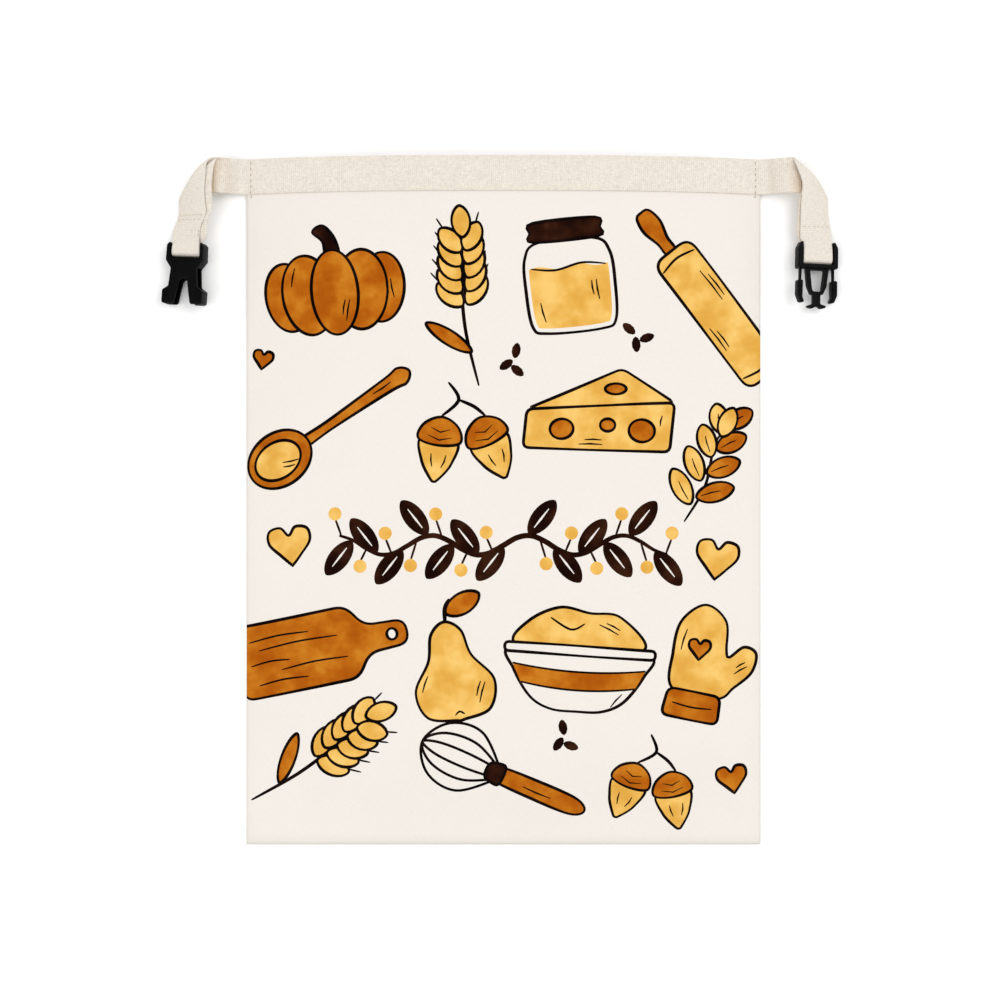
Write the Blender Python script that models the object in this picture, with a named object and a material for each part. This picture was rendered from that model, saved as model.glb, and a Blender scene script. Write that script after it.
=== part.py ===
"""A flat cloth bag with a tape across the front of its mouth, whose ends fold down to a clasp's halves.

Metres, +Z up. The bag lies on its back on the plane Z = 0, with its mouth towards +Y. The origin is the
middle of the back panel's underside.
"""

import math
from collections import namedtuple

import bmesh
import bpy
from mathutils import Matrix, Vector

# Driving dimensions of the bag
BAG_WIDTH = 0.300
BAG_HEIGHT = 0.402
CLOTH = 0.0010
TAPE = 0.0013
TAPE_WIDTH = 0.0204
GAP = 0.0003
MOUTH_DROP = 0.0017
MOUTH_BOW = 0.0008
BACK_HEM = 0.020
HEM_INSET = 0.009

# The air left in the bag: how far the front panel stands above its sewn rim
CROWN = 0.0115
MOUTH_CROWN = 0.0098
CROWN_POWER = 3.2
FOOT_RISE = 0.062
MOUTH_FADE = 0.090

HALF_WIDTH = BAG_WIDTH / 2
HALF_HEIGHT = BAG_HEIGHT / 2
RIM_LEVEL = CLOTH + GAP + CLOTH / 2
BAND_LIFT = CLOTH / 2 + GAP + TAPE / 2

# Soft creases of the front panel: place, the way each runs, its half length and half width, and its height
Crease = namedtuple("Crease", "x y turn_deg half_length half_width rise")
CREASES = (
    Crease(-0.085, 0.095, 72, 0.075, 0.016, 0.0011),
    Crease(0.060, 0.030, 100, 0.090, 0.020, -0.0010),
    Crease(-0.030, -0.080, 25, 0.080, 0.017, 0.0009),
    Crease(0.092, -0.110, 118, 0.055, 0.015, 0.0010),
    Crease(-0.100, -0.135, 62, 0.050, 0.014, -0.0009),
    Crease(0.020, 0.140, 8, 0.085, 0.013, -0.0008),
)

# Grids of the sheets
PANEL_COLUMNS = 24
PANEL_ROWS = 28
BACK_COLUMNS = 12
BACK_ROWS = 10
TAPE_COLUMNS = 8
BAND_STEP = 0.0125
TURN_STEP = 0.0020
BEND_STEPS = 8
DROP_STEP = 0.0024
LOOP_STEPS = 12
HEM_STEPS = 8

# The tape's turn at each side of the bag: it leaves the bag's edge, rises over a soft hump, slopes down
# outwards, and is folded forwards there along a slanting line
TAPE_LINE = HALF_HEIGHT - MOUTH_DROP - MOUTH_BOW - TAPE_WIDTH / 2
TURN_LINE = 0.1774
TURN_RADIUS = 0.0017
BEND_LENGTH = math.pi * TURN_RADIUS
DROP_CENTRE = TURN_LINE + BEND_LENGTH / math.sqrt(2)
SLANT_LENGTH = 0.0175
TURN_FADE = 0.014
LAYER = (TAPE + GAP) / 2
RETURN_MARGIN = 0.0012
RETURN_END = math.sqrt(2) * (BEND_LENGTH + RETURN_MARGIN) - BEND_LENGTH / math.sqrt(2)
Slope = namedtuple("Slope", "out degrees")
HUMP = (
    Slope(HALF_WIDTH, 0),
    Slope(0.1575, 36),
    Slope(0.1660, 17),
    Slope(0.1720, -11),
    Slope(0.1800, -31),
    Slope(0.1900, -46),
    Slope(0.2000, -50),
)
HUMP_STEP = 0.0005
FLAT_CUP = 0.5

# The clasp's halves, as they are moulded. The bar's axis is their origin, and they reach down from it
BAR_RADIUS = 0.0014
SLOT_HALF = 0.0093
LOOP_RADIUS = BAR_RADIUS + GAP + TAPE / 2
LOOP_OPENS = 0.012
THROAT = LOOP_RADIUS + TAPE / 2 + GAP
SOCKET_ARM = 0.0021
HORN_TOP = 0.0052
SOCKET_WAIST = 0.0080
SOCKET_HALF = 0.0125
SOCKET_THICK = 0.0082
SOCKET_WALL = 0.0014
SOCKET_BLOCK = 0.0092
SOCKET_MOUTH = 0.0304
PRONG_ARM = 0.0029
PRONG_HALF = SLOT_HALF + PRONG_ARM
FRAME_THICK = 0.0066
FRAME_TOP = 0.0097
GUIDE_THICK = 0.0040
SPRING_THICK = 0.0024
BUTTON_THICK = 0.0056
SOCKET_ROLL = 13.0
PRONG_ROLL = 12.0
CLEAR = 0.0001
ROUND = 0.0005


def resting_height(half_width, half_thickness, roll_deg):
    """Height of a rolled clasp's middle when its outer edge lies on the surface."""
    roll = math.radians(roll_deg)
    return half_width * math.sin(roll) + half_thickness * math.cos(roll) + CLEAR


# How each end of the tape hangs: run down from the tape's line, centre out from the middle of the bag,
# half width, roll about its length, cup across its width, lean outwards in plan, and the height of its
# outer edge
Station = namedtuple("Station", "run centre half_width roll_deg cup_deg lean_deg edge")


def in_slot(bar, top, rest):
    """Two stations on the clasp's own axis: the top of its arms, and the bar, whose edge height is free."""
    edge = rest - bar.half_width * math.sin(math.radians(bar.roll_deg))
    shift = top * math.tan(math.radians(bar.lean_deg))
    return (
        bar._replace(run=bar.run - top, centre=bar.centre - shift, edge=edge),
        bar._replace(edge=edge),
    )


SOCKET_REST = resting_height(SOCKET_HALF, SOCKET_THICK / 2, SOCKET_ROLL)
PRONG_REST = resting_height(PRONG_HALF, FRAME_THICK / 2, PRONG_ROLL)
LEFT_DROP = (
    Station(-0.0120, 0.1797, 0.0102, 36.0, 36.0, 0.0, 0.0026),
    Station(0.0152, 0.1801, 0.0102, 36.0, 30.0, 0.5, 0.0022),
    Station(0.0252, 0.1817, 0.0102, 30.0, 16.0, 3.0, 0.0018),
    Station(0.0335, 0.1830, 0.0098, 18.0, 6.0, 6.0, 0.0026),
    *in_slot(Station(0.0443, 0.1836, 0.0088, SOCKET_ROLL, 0.0, 3.8, None), HORN_TOP, SOCKET_REST),
)
RIGHT_DROP = (
    Station(-0.0120, 0.1796, 0.0102, 30.0, 36.0, 0.0, 0.0026),
    Station(0.0142, 0.1803, 0.0102, 30.0, 32.0, 0.0, 0.0022),
    Station(0.0220, 0.1806, 0.0102, 27.0, 20.0, 0.5, 0.0018),
    Station(0.0306, 0.1810, 0.0102, 20.0, 8.0, 2.0, 0.0018),
    *in_slot(Station(0.0482, 0.1820, 0.0089, PRONG_ROLL, 0.0, -1.0, None), FRAME_TOP, PRONG_REST),
)
LEFT_SHIFT = 0.0032
RIGHT_SHIFT = 0.0003


def smooth(x):
    """Rise from 0 to 1 with level ends."""
    x = min(1.0, max(0.0, x))
    return x * x * (3 - 2 * x)


def station_at(table, run):
    """The row of a table of stations at a run, on a smooth curve through the rows."""
    run = min(max(run, table[0].run), table[-1].run)
    i = max(k for k in range(len(table) - 1) if table[k].run <= run)
    first, last = table[i], table[i + 1]
    before, after = table[max(i - 1, 0)], table[min(i + 2, len(table) - 1)]
    span = last.run - first.run
    t = (run - first.run) / span
    values = []
    for p0, p1, p2, p3 in zip(before, first, last, after):
        m1 = (p2 - p0) / (last.run - before.run) * span
        m2 = (p3 - p1) / (after.run - first.run) * span
        values.append(
            (2 * t**3 - 3 * t**2 + 1) * p1
            + (t**3 - 2 * t**2 + t) * m1
            + (3 * t**2 - 2 * t**3) * p2
            + (t**3 - t**2) * m2
        )
    values[0] = run
    return Station(*values)


def mesh_object(name, mesh):
    """A new object for a mesh, in the scene."""
    obj = bpy.data.objects.new(name, mesh)
    bpy.context.scene.collection.objects.link(obj)
    return obj


def sheet(name, rows, thickness):
    """A closed sheet of cloth: a grid of points, thickened evenly to both sides."""
    bm = bmesh.new()
    grid = [[bm.verts.new(point) for point in row] for row in rows]
    for lower, upper in zip(grid, grid[1:]):
        for i in range(len(lower) - 1):
            bm.faces.new((lower[i], lower[i + 1], upper[i + 1], upper[i]))
    mesh = bpy.data.meshes.new(name)
    bm.to_mesh(mesh)
    bm.free()
    mesh.shade_smooth()
    obj = mesh_object(name, mesh)
    wall = obj.modifiers.new("Wall", "SOLIDIFY")
    wall.thickness = thickness
    wall.offset = 0
    wall.use_even_offset = True
    wall.use_quality_normals = True
    return obj


def steps(start, end, size):
    """Evenly spaced values from start to end, about size apart."""
    count = max(1, round(abs(end - start) / size))
    return [start + (end - start) * i / count for i in range(count + 1)]


def mouth_line(x):
    """Y of the mouth's edge, which bows out in the middle."""
    return HALF_HEIGHT - MOUTH_DROP - MOUTH_BOW * (x / HALF_WIDTH) ** 2


def crease_rise(x, y):
    """What the creases add to the front panel at a point."""
    total = 0.0
    for c in CREASES:
        turn = math.radians(c.turn_deg)
        along = (x - c.x) * math.cos(turn) + (y - c.y) * math.sin(turn)
        across = (y - c.y) * math.cos(turn) - (x - c.x) * math.sin(turn)
        total += c.rise * math.exp(-((along / c.half_length) ** 2) - (across / c.half_width) ** 2)
    return total


def front_level(x, y):
    """Height of the front panel's mid-surface."""
    across = 1 - min(1.0, abs(x) / HALF_WIDTH) ** CROWN_POWER
    up = smooth((y + HALF_HEIGHT) / FOOT_RISE)
    near_mouth = smooth((y - HALF_HEIGHT + MOUTH_FADE) / MOUTH_FADE)
    crown = CROWN + (MOUTH_CROWN - CROWN) * near_mouth
    fade = across * up * (1 - near_mouth)
    return RIM_LEVEL + crown * across * up + crease_rise(x, y) * fade


def panel_row(share, columns, level):
    """A row of points across the bag, at a share of the way from its foot to its mouth."""
    points = []
    for i in range(columns + 1):
        x = HALF_WIDTH * math.sin(math.pi * (i / columns - 0.5))
        y = -HALF_HEIGHT + share * (mouth_line(x) + HALF_HEIGHT)
        points.append(Vector((x, y, level(x, y))))
    return points


def front_panel():
    """The front panel stands above its sewn rim and lies open at the mouth."""
    rows = []
    for j in range(PANEL_ROWS + 1):
        share = 1 - math.cos(math.pi / 2 * j / PANEL_ROWS)
        rows.append(panel_row(share, PANEL_COLUMNS, front_level))
    return sheet("front_panel", rows, CLOTH)


def back_panel():
    """The back panel lies flat, and its hem turns over into the bag with mitred ends."""
    flat = CLOTH / 2
    turn = (CLOTH + GAP) / 2
    fold_line = 1 - turn / BAG_HEIGHT
    hem_line = 1 - BACK_HEM / BAG_HEIGHT

    def row(share, narrowing, rise, reach=0.0):
        points = panel_row(share, BACK_COLUMNS, lambda x, y: flat + rise)
        inset = 1 - HEM_INSET * narrowing / HALF_WIDTH
        return [Vector((p.x * inset, p.y + reach, p.z)) for p in points]

    rows = [row(share, 0, 0) for share in steps(0, hem_line, 1 / BACK_ROWS)]
    rows += [row((hem_line + fold_line) / 2, 0, 0), row(fold_line, 0, 0)]
    for i in range(1, HEM_STEPS):
        angle = math.pi * i / HEM_STEPS
        rows.append(row(fold_line, i / HEM_STEPS, turn * (1 - math.cos(angle)), turn * math.sin(angle)))
    rows += [row(share, 1, 2 * turn) for share in (fold_line, (hem_line + fold_line) / 2, hem_line)]
    return sheet("back_panel", rows, CLOTH)


def hump_slope(out):
    """Slope of the tape in radians, at a length out from the middle of the bag."""
    out = min(max(out, HUMP[0].out), HUMP[-1].out)
    i = max(k for k in range(len(HUMP) - 1) if HUMP[k].out <= out)
    first, last = HUMP[i], HUMP[i + 1]
    share = smooth((out - first.out) / (last.out - first.out))
    return math.radians(first.degrees + (last.degrees - first.degrees) * share)


def hump_points():
    """The tape's mid-line in side view, as (out along it, distance from the bag's middle, height)."""
    place, height = HALF_WIDTH, RIM_LEVEL + BAND_LIFT
    points = [(HALF_WIDTH, place, height)]
    for i in range(round((HUMP[-1].out - HALF_WIDTH) / HUMP_STEP)):
        slope = hump_slope(HALF_WIDTH + (i + 0.5) * HUMP_STEP)
        place += HUMP_STEP * math.cos(slope)
        height += HUMP_STEP * math.sin(slope)
        points.append((HALF_WIDTH + (i + 1) * HUMP_STEP, place, height))
    return points


HUMP_LINE = hump_points()


def over_hump(out, above):
    """Distance from the bag's middle and height, of what lies above the tape's mid-line at a length out."""
    step = (out - HALF_WIDTH) / HUMP_STEP
    i = min(max(int(step), 0), len(HUMP_LINE) - 2)
    share = step - i
    first, last = HUMP_LINE[i], HUMP_LINE[i + 1]
    slope = hump_slope(out)
    place = first[1] + (last[1] - first[1]) * share - above * math.sin(slope)
    height = first[2] + (last[2] - first[2]) * share + above * math.cos(slope)
    return place, height


def station_frame(side, station):
    """The place of the strap's core at a station: X across it, Y back up it and Z out of its face."""
    roll = math.radians(station.roll_deg)
    height = station.edge + station.half_width * math.sin(roll)
    centre = Vector((side * station.centre, TAPE_LINE - station.run, height))
    lean = Matrix.Rotation(side * math.radians(station.lean_deg), 4, "Z")
    return Matrix.Translation(centre) @ lean @ Matrix.Rotation(side * roll, 4, "Y")


def opening_of_layers(table, run):
    """How far each layer of the strap lies from its core, which widens to the bar's loop."""
    bar = table[-1].run
    return LAYER + (LOOP_RADIUS - LAYER) * smooth((run - bar + LOOP_OPENS) / LOOP_OPENS)


def across_strap(station, w, above):
    """A point of the strap in its station's frame: w across the tape, and a height above its core."""
    x = -w * station.half_width / (TAPE_WIDTH / 2)
    if station.cup_deg < FLAT_CUP:
        return Vector((x, 0, above))
    radius = 2 * station.half_width / math.radians(station.cup_deg)
    return Vector(
        ((radius + above) * math.sin(x / radius), 0, (radius + above) * math.cos(x / radius) - radius)
    )


def strap_point(side, table, run, w, above):
    """A point of the hanging strap, in the bag's frame."""
    station = station_at(table, run)
    local = across_strap(station, w, above)
    return station_frame(side, station) @ Vector((side * local.x, local.y, local.z))


def turned_point(side, table, length, w, ply=1):
    """A point of the tape beyond the bag: its length from the bag's middle, and w across it.

    Ply 1 is the layer that comes from the bag, and ply -1 the one that comes back up behind it.
    """
    out = length - TURN_LINE
    beyond = (out + w) / math.sqrt(2)
    along = (out - w) / math.sqrt(2)
    wrap = min(max(beyond, 0) / TURN_RADIUS, math.pi)
    reach = TURN_RADIUS * math.sin(wrap) + min(beyond, 0) - max(beyond - BEND_LENGTH, 0)
    rise = TURN_RADIUS * (1 - math.cos(wrap)) - LAYER * (1 - ply)
    place, height = over_hump(TURN_LINE + (along + reach) / math.sqrt(2), rise)
    turned = Vector((side * place, TAPE_LINE + (reach - along) / math.sqrt(2), height))
    if beyond <= BEND_LENGTH:
        return turned
    run = length - DROP_CENTRE
    hung = strap_point(side, table, run, w, ply * opening_of_layers(table, run))
    return turned.lerp(hung, smooth((beyond - BEND_LENGTH) / TURN_FADE))


def tape_columns():
    """Places across the tape, from its upper edge to its lower one."""
    return [TAPE_WIDTH * (0.5 - i / TAPE_COLUMNS) for i in range(TAPE_COLUMNS + 1)]


def turn_rows(side, table):
    """The tape from the bag's edge to just past its turn, in rows that slant as the turn does.

    Returns the rows, and the length at which they end.
    """
    across = tape_columns()
    bend_end = TURN_LINE + math.sqrt(2) * BEND_LENGTH
    rows = steps(HALF_WIDTH, TURN_LINE, TURN_STEP)[1:-1]
    rows += steps(TURN_LINE, bend_end, math.sqrt(2) * BEND_LENGTH / BEND_STEPS)
    rows += steps(bend_end, bend_end + SLANT_LENGTH, TURN_STEP)[1:]

    def slant(length):
        before = smooth((length - TURN_LINE) / SLANT_LENGTH + 1)
        return before * smooth((bend_end - length) / SLANT_LENGTH + 1)

    points = [[turned_point(side, table, length - slant(length) * w, w) for w in across] for length in rows]
    return points, bend_end + SLANT_LENGTH


def drop_rows(side, table, shift):
    """The tape beyond the bag's edge: out, over the turn, down to the clasp's bar, round it and back up."""
    across = tape_columns()
    bar = table[-1].run
    rows, turned_length = turn_rows(side, table)
    for length in steps(turned_length, DROP_CENTRE + bar, DROP_STEP)[1:]:
        rows.append([turned_point(side, table, length, w) for w in across])
    place = station_frame(side, table[-1])
    for i in range(1, LOOP_STEPS):
        angle = math.pi * i / LOOP_STEPS
        below = -LOOP_RADIUS * math.sin(angle)
        above = LOOP_RADIUS * math.cos(angle)
        points = [across_strap(table[-1], w, above) for w in across]
        rows.append([place @ Vector((side * p.x, below, p.z)) for p in points])
    for run in steps(bar, RETURN_END, DROP_STEP):
        slant = smooth((RETURN_END - run) / SLANT_LENGTH + 1)
        aside = shift * smooth((bar - FRAME_TOP - run) / TURN_FADE)
        length = DROP_CENTRE + run
        rows.append([turned_point(side, table, length - slant * w, w + aside, -1) for w in across])
    return rows


def band_rows():
    """The tape across the front of the mouth, following the mouth's bow."""
    rows = []
    for x in steps(-HALF_WIDTH, HALF_WIDTH, BAND_STEP):
        line = TAPE_LINE + mouth_line(x) - mouth_line(HALF_WIDTH)
        across = [line + w for w in tape_columns()]
        rows.append([Vector((x, y, front_level(x, y) + BAND_LIFT)) for y in across])
    return rows


def mouth_tape():
    """One tape: the left end, the band on the front of the mouth, and the right end."""
    left = drop_rows(-1, LEFT_DROP, LEFT_SHIFT)
    right = drop_rows(1, RIGHT_DROP, RIGHT_SHIFT)
    return sheet("mouth_tape", [*reversed(left), *band_rows(), *right], TAPE)


def rounded(corners, arc_steps=4):
    """An outline of (x, y, radius) corners as points, with each corner's arc."""
    points = []
    for i, (x, y, radius) in enumerate(corners):
        corner = Vector((x, y))
        if radius <= 0:
            points.append(corner)
            continue
        before = (Vector(corners[i - 1][:2]) - corner).normalized()
        after = (Vector(corners[(i + 1) % len(corners)][:2]) - corner).normalized()
        half_angle = before.angle(after) / 2
        cut = radius / math.tan(half_angle)
        centre = corner + (before + after).normalized() * radius / math.sin(half_angle)
        start, end = corner + before * cut - centre, corner + after * cut - centre
        sweep = start.angle_signed(end)
        for k in range(arc_steps + 1):
            points.append(centre + Matrix.Rotation(-sweep * k / arc_steps, 2) @ start)
    return points


def mirrored(half):
    """A whole outline from the corners of its half at X > 0, top to bottom."""
    return [*half, *[(-x, y, r) for x, y, r in reversed(half)]]


def plate(name, corners, thickness, bevel=ROUND):
    """An outline in X and Y, extruded evenly to both sides of Z = 0, with its edges eased."""
    bm = bmesh.new()
    ring = [bm.verts.new((p.x, p.y, -thickness / 2)) for p in rounded(corners)]
    face = bm.faces.new(ring)
    grown = bmesh.ops.extrude_face_region(bm, geom=[face])
    top = [v for v in grown["geom"] if isinstance(v, bmesh.types.BMVert)]
    bmesh.ops.translate(bm, verts=top, vec=(0, 0, thickness))
    bmesh.ops.recalc_face_normals(bm, faces=bm.faces)
    if bevel:
        rims = [e for e in bm.edges if abs(e.verts[0].co.z - e.verts[1].co.z) < thickness / 2]
        bmesh.ops.bevel(bm, geom=rims, offset=bevel, segments=2, profile=0.5, affect="EDGES")
    mesh = bpy.data.meshes.new(name)
    bm.to_mesh(mesh)
    bm.free()
    return mesh_object(name, mesh)


def rod(name, radius, length, sides=16):
    """A round bar along X."""
    bm = bmesh.new()
    bmesh.ops.create_cone(
        bm,
        cap_ends=True,
        segments=sides,
        radius1=radius,
        radius2=radius,
        depth=length,
        matrix=Matrix.Rotation(math.pi / 2, 4, "Y"),
    )
    mesh = bpy.data.meshes.new(name)
    bm.to_mesh(mesh)
    bm.free()
    return mesh_object(name, mesh)


def combine(obj, other, operation):
    """Add or cut another shape by a Boolean, and keep that shape as a hidden helper."""
    other.hide_render = True
    other.display_type = "WIRE"
    other.parent = obj
    change = obj.modifiers.new(other.name, "BOOLEAN")
    change.operation = operation
    change.object = other


def socket_half():
    """The female half: a bar between two horns, a block, and two plates joined at the mouth's cheeks."""
    shoulder = SLOT_HALF + SOCKET_ARM
    body = plate(
        "socket_half",
        mirrored(
            [
                (SLOT_HALF, -THROAT, 0.0),
                (SLOT_HALF, HORN_TOP, 0.0006),
                (shoulder - 0.0003, HORN_TOP, 0.0009),
                (shoulder, -0.0052, 0.0010),
                (SOCKET_WAIST, -0.0098, 0.0010),
                (SOCKET_WAIST + 0.0009, -0.0202, 0.0010),
                (SOCKET_HALF, -0.0226, 0.0012),
                (SOCKET_HALF, -SOCKET_MOUTH, 0.0016),
                (0.0052, -SOCKET_MOUTH, 0.0014),
                (0.0025, -0.0160, 0.0020),
            ]
        ),
        SOCKET_THICK,
    )
    cheek = SOCKET_HALF - SOCKET_WALL
    hollow = plate(
        "socket_hollow",
        mirrored([(cheek, -SOCKET_BLOCK, 0.0), (cheek, -SOCKET_MOUTH - 0.004, 0.0)]),
        SOCKET_THICK - 2 * SOCKET_WALL,
        0,
    )
    combine(body, hollow, "DIFFERENCE")
    combine(body, rod("socket_bar", BAR_RADIUS, 2 * SLOT_HALF + SOCKET_ARM), "UNION")
    return body


def frame_plate(name):
    """The male half's two arms, joined by a crossbar below the slot."""
    half = [
        (SLOT_HALF, -THROAT, 0.0),
        (SLOT_HALF, FRAME_TOP, 0.0008),
        (PRONG_HALF, FRAME_TOP, 0.0018),
        (PRONG_HALF, -0.0058, 0.0012),
    ]
    return plate(name, mirrored(half), FRAME_THICK)


def spring(side):
    """A thin springy arm between the crossbar and the release button."""
    return plate(
        f"spring_{side}",
        [
            (side * 0.0093, -0.0045, 0.0),
            (side * 0.0106, -0.0045, 0.0),
            (side * 0.0108, -0.0150, 0.0),
            (side * 0.0097, -0.0150, 0.0),
        ],
        SPRING_THICK,
        0,
    )


def button(side):
    """A thick release button, whose tip hooks inwards."""
    return plate(
        f"button_{side}",
        [
            (side * 0.0090, -0.0126, 0.0008),
            (side * 0.0121, -0.0124, 0.0010),
            (side * 0.0122, -0.0210, 0.0032),
            (side * 0.0102, -0.0258, 0.0014),
            (side * 0.0080, -0.0252, 0.0008),
            (side * 0.0092, -0.0222, 0.0010),
        ],
        BUTTON_THICK,
    )


def guide():
    """The middle guide: two legs round a window, which meet at a stem with a barbed tip."""
    body = plate(
        "guide",
        mirrored(
            [
                (0.0071, -0.0040, 0.0),
                (0.0058, -0.0160, 0.0060),
                (0.0036, -0.0207, 0.0014),
                (0.0021, -0.0211, 0.0),
                (0.0021, -0.0262, 0.0008),
                (0.0056, -0.0272, 0.0004),
                (0.0052, -0.0284, 0.0004),
                (0.0028, -0.0290, 0.0010),
                (0.0010, -0.0278, 0.0),
            ]
        ),
        GUIDE_THICK,
        0,
    )
    window = plate(
        "guide_window",
        mirrored([(0.0046, -0.0066, 0.0008), (0.0031, -0.0190, 0.0016)]),
        2 * GUIDE_THICK,
        0,
    )
    combine(body, window, "DIFFERENCE")
    return body


def prong_half():
    """The male half: frame and bar, the middle guide, and a springy prong on each side of it."""
    body = frame_plate("prong_half")
    combine(body, rod("prong_bar", BAR_RADIUS, 2 * SLOT_HALF + PRONG_ARM), "UNION")
    combine(body, guide(), "UNION")
    for side in (-1, 1):
        combine(body, spring(side), "UNION")
        combine(body, button(side), "UNION")
    return body


def material(name, colour, roughness):
    """A finish: colour, roughness, and no metal anywhere on this object."""
    made = bpy.data.materials.new(name)
    made.use_nodes = True
    shader = made.node_tree.nodes["Principled BSDF"]
    shader.inputs["Base Color"].default_value = (*colour, 1)
    shader.inputs["Roughness"].default_value = roughness
    shader.inputs["Metallic"].default_value = 0
    return made


def main():
    """Clear the scene and build the bag."""
    for obj in list(bpy.data.objects):
        bpy.data.objects.remove(obj)
    cotton = material("cotton", (0.91, 0.85, 0.79), 0.9)
    tape = material("tape", (0.84, 0.78, 0.69), 0.9)
    plastic = material("black_plastic", (0.012, 0.012, 0.013), 0.45)
    front_panel().data.materials.append(cotton)
    back_panel().data.materials.append(cotton)
    mouth_tape().data.materials.append(tape)
    for side, table, half in ((-1, LEFT_DROP, socket_half()), (1, RIGHT_DROP, prong_half())):
        half.matrix_world = station_frame(side, table[-1])
        half.data.materials.append(plastic)


main()
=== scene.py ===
"""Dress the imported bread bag: printed cotton canvas, a sewn cotton tape and the two halves of its clasp.

Metres, +Z up. The bag lies on its back on the plane Z = 0, with its mouth towards +Y.
"""

import logging
import math
import random
from collections.abc import Callable, Iterable, Sequence
from dataclasses import astuple, dataclass, field, replace
from enum import Enum

import bmesh
import bpy
import numpy as np
from mathutils import Matrix, Vector, kdtree, noise
from mathutils.geometry import delaunay_2d_cdt


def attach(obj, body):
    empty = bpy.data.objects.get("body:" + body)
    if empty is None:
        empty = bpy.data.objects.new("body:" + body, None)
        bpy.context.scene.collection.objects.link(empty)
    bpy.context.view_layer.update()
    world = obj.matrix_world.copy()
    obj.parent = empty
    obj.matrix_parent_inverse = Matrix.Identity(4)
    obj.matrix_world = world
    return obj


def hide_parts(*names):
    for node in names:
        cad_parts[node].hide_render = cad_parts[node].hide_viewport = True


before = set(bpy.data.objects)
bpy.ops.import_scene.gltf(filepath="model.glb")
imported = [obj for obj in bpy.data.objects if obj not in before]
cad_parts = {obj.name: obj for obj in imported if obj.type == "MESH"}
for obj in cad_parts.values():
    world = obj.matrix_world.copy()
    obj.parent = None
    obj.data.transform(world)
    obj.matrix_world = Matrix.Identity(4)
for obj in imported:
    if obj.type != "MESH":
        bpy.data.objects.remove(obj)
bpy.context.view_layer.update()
LAY = "lay"
DYE = "dye"
SHADE = "shade"
MM = 0.001
THINNEST = 0.00004
EDGE_ROWS = (0.0, 0.00016, 0.00045, 0.0008, 0.0012)

log = logging.getLogger("bread_bag")
Pair = tuple[float, float]
Triple = tuple[float, float, float]
Colour = Triple
Loop = np.ndarray
Piece = bpy.types.Object
Socket = bpy.types.NodeSocket
Path = tuple[list[Vector], list[Vector]]


def linear(red: int, green: int, blue: int) -> Colour:
    """Turn a display colour into a linear one.

    Args:
        red: Red, from 0 to 255.
        green: Green, from 0 to 255.
        blue: Blue, from 0 to 255.

    Returns:
        The linear colour.
    """
    shares = (value / 255 for value in (red, green, blue))
    return tuple(s / 12.92 if s <= 0.04045 else ((s + 0.055) / 1.055) ** 2.4 for s in shares)


def smooth(x: float | np.ndarray) -> float | np.ndarray:
    """Rise from 0 to 1 with level ends."""
    x = np.clip(x, 0.0, 1.0)
    return x * x * (3 - 2 * x)


def hill(x: float | np.ndarray, centre: float, reach: float) -> float | np.ndarray:
    """Rise to 1 at a centre, and fall away on both sides of it."""
    return np.exp(-(((x - centre) / reach) ** 2))


def uneven_wave(x: np.ndarray, rate: float, bend: float, slow: float, phase: object = 0.0) -> np.ndarray:
    """Find a wave whose length varies along the way.

    Args:
        x: The places, in metres.
        rate: The wave's radians a metre.
        bend: How far a slower wave shifts it, in radians.
        slow: The slower wave's radians a metre.
        phase: Where both start, in radians: a number or an array.

    Returns:
        The wave, from -1 to 1.
    """
    return np.sin(x * rate + phase + bend * np.sin(x * slow + phase))


def linked(name: str, data: bpy.types.ID) -> Piece:
    """Put an object with its data into the scene."""
    obj = bpy.data.objects.new(name, data)
    bpy.context.scene.collection.objects.link(obj)
    return obj


# ---------------------------------------------------------------- shader maths


def operator(operation: str, swapped: bool = False) -> Callable[..., "Signal"]:
    """Make an operator of signals that adds one Math node.

    Args:
        operation: The Math node's operation.
        swapped: Whether the signal is the node's second input.

    Returns:
        The operator.
    """

    def apply(signal: "Signal", *others: "Signal | float") -> "Signal":
        """Add the node."""
        return signal.math(operation, *((*others, signal) if swapped else (signal, *others)))

    return apply


class Signal:
    """A number that varies over a surface: operators on it add Math nodes to its finish."""

    def __init__(self, recipe: "Recipe", socket: Socket) -> None:
        """Wrap an output socket of a recipe's node."""
        self.recipe = recipe
        self.socket = socket

    def math(self, operation: str, *values: "Signal | float") -> "Signal":
        """Add one Math node.

        Args:
            operation: The Math node's operation.
            values: Its inputs, in order.

        Returns:
            What the node gives.
        """
        node = self.recipe.node("ShaderNodeMath", {"operation": operation}, dict(enumerate(values)))
        return Signal(self.recipe, node.outputs[0])

    __add__ = __radd__ = operator("ADD")
    __sub__ = operator("SUBTRACT")
    __rsub__ = operator("SUBTRACT", swapped=True)
    __mul__ = operator("MULTIPLY")
    __gt__ = operator("GREATER_THAN")
    __abs__ = operator("ABSOLUTE")
    sin = operator("SINE")

    def ramp(self, low: float, high: float) -> "Signal":
        """Rise smoothly from 0 at low to 1 at high."""
        settings = {"interpolation_type": "SMOOTHSTEP"}
        node = self.recipe.node("ShaderNodeMapRange", settings, {0: self, 1: low, 2: high})
        return Signal(self.recipe, node.outputs[0])


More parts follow.
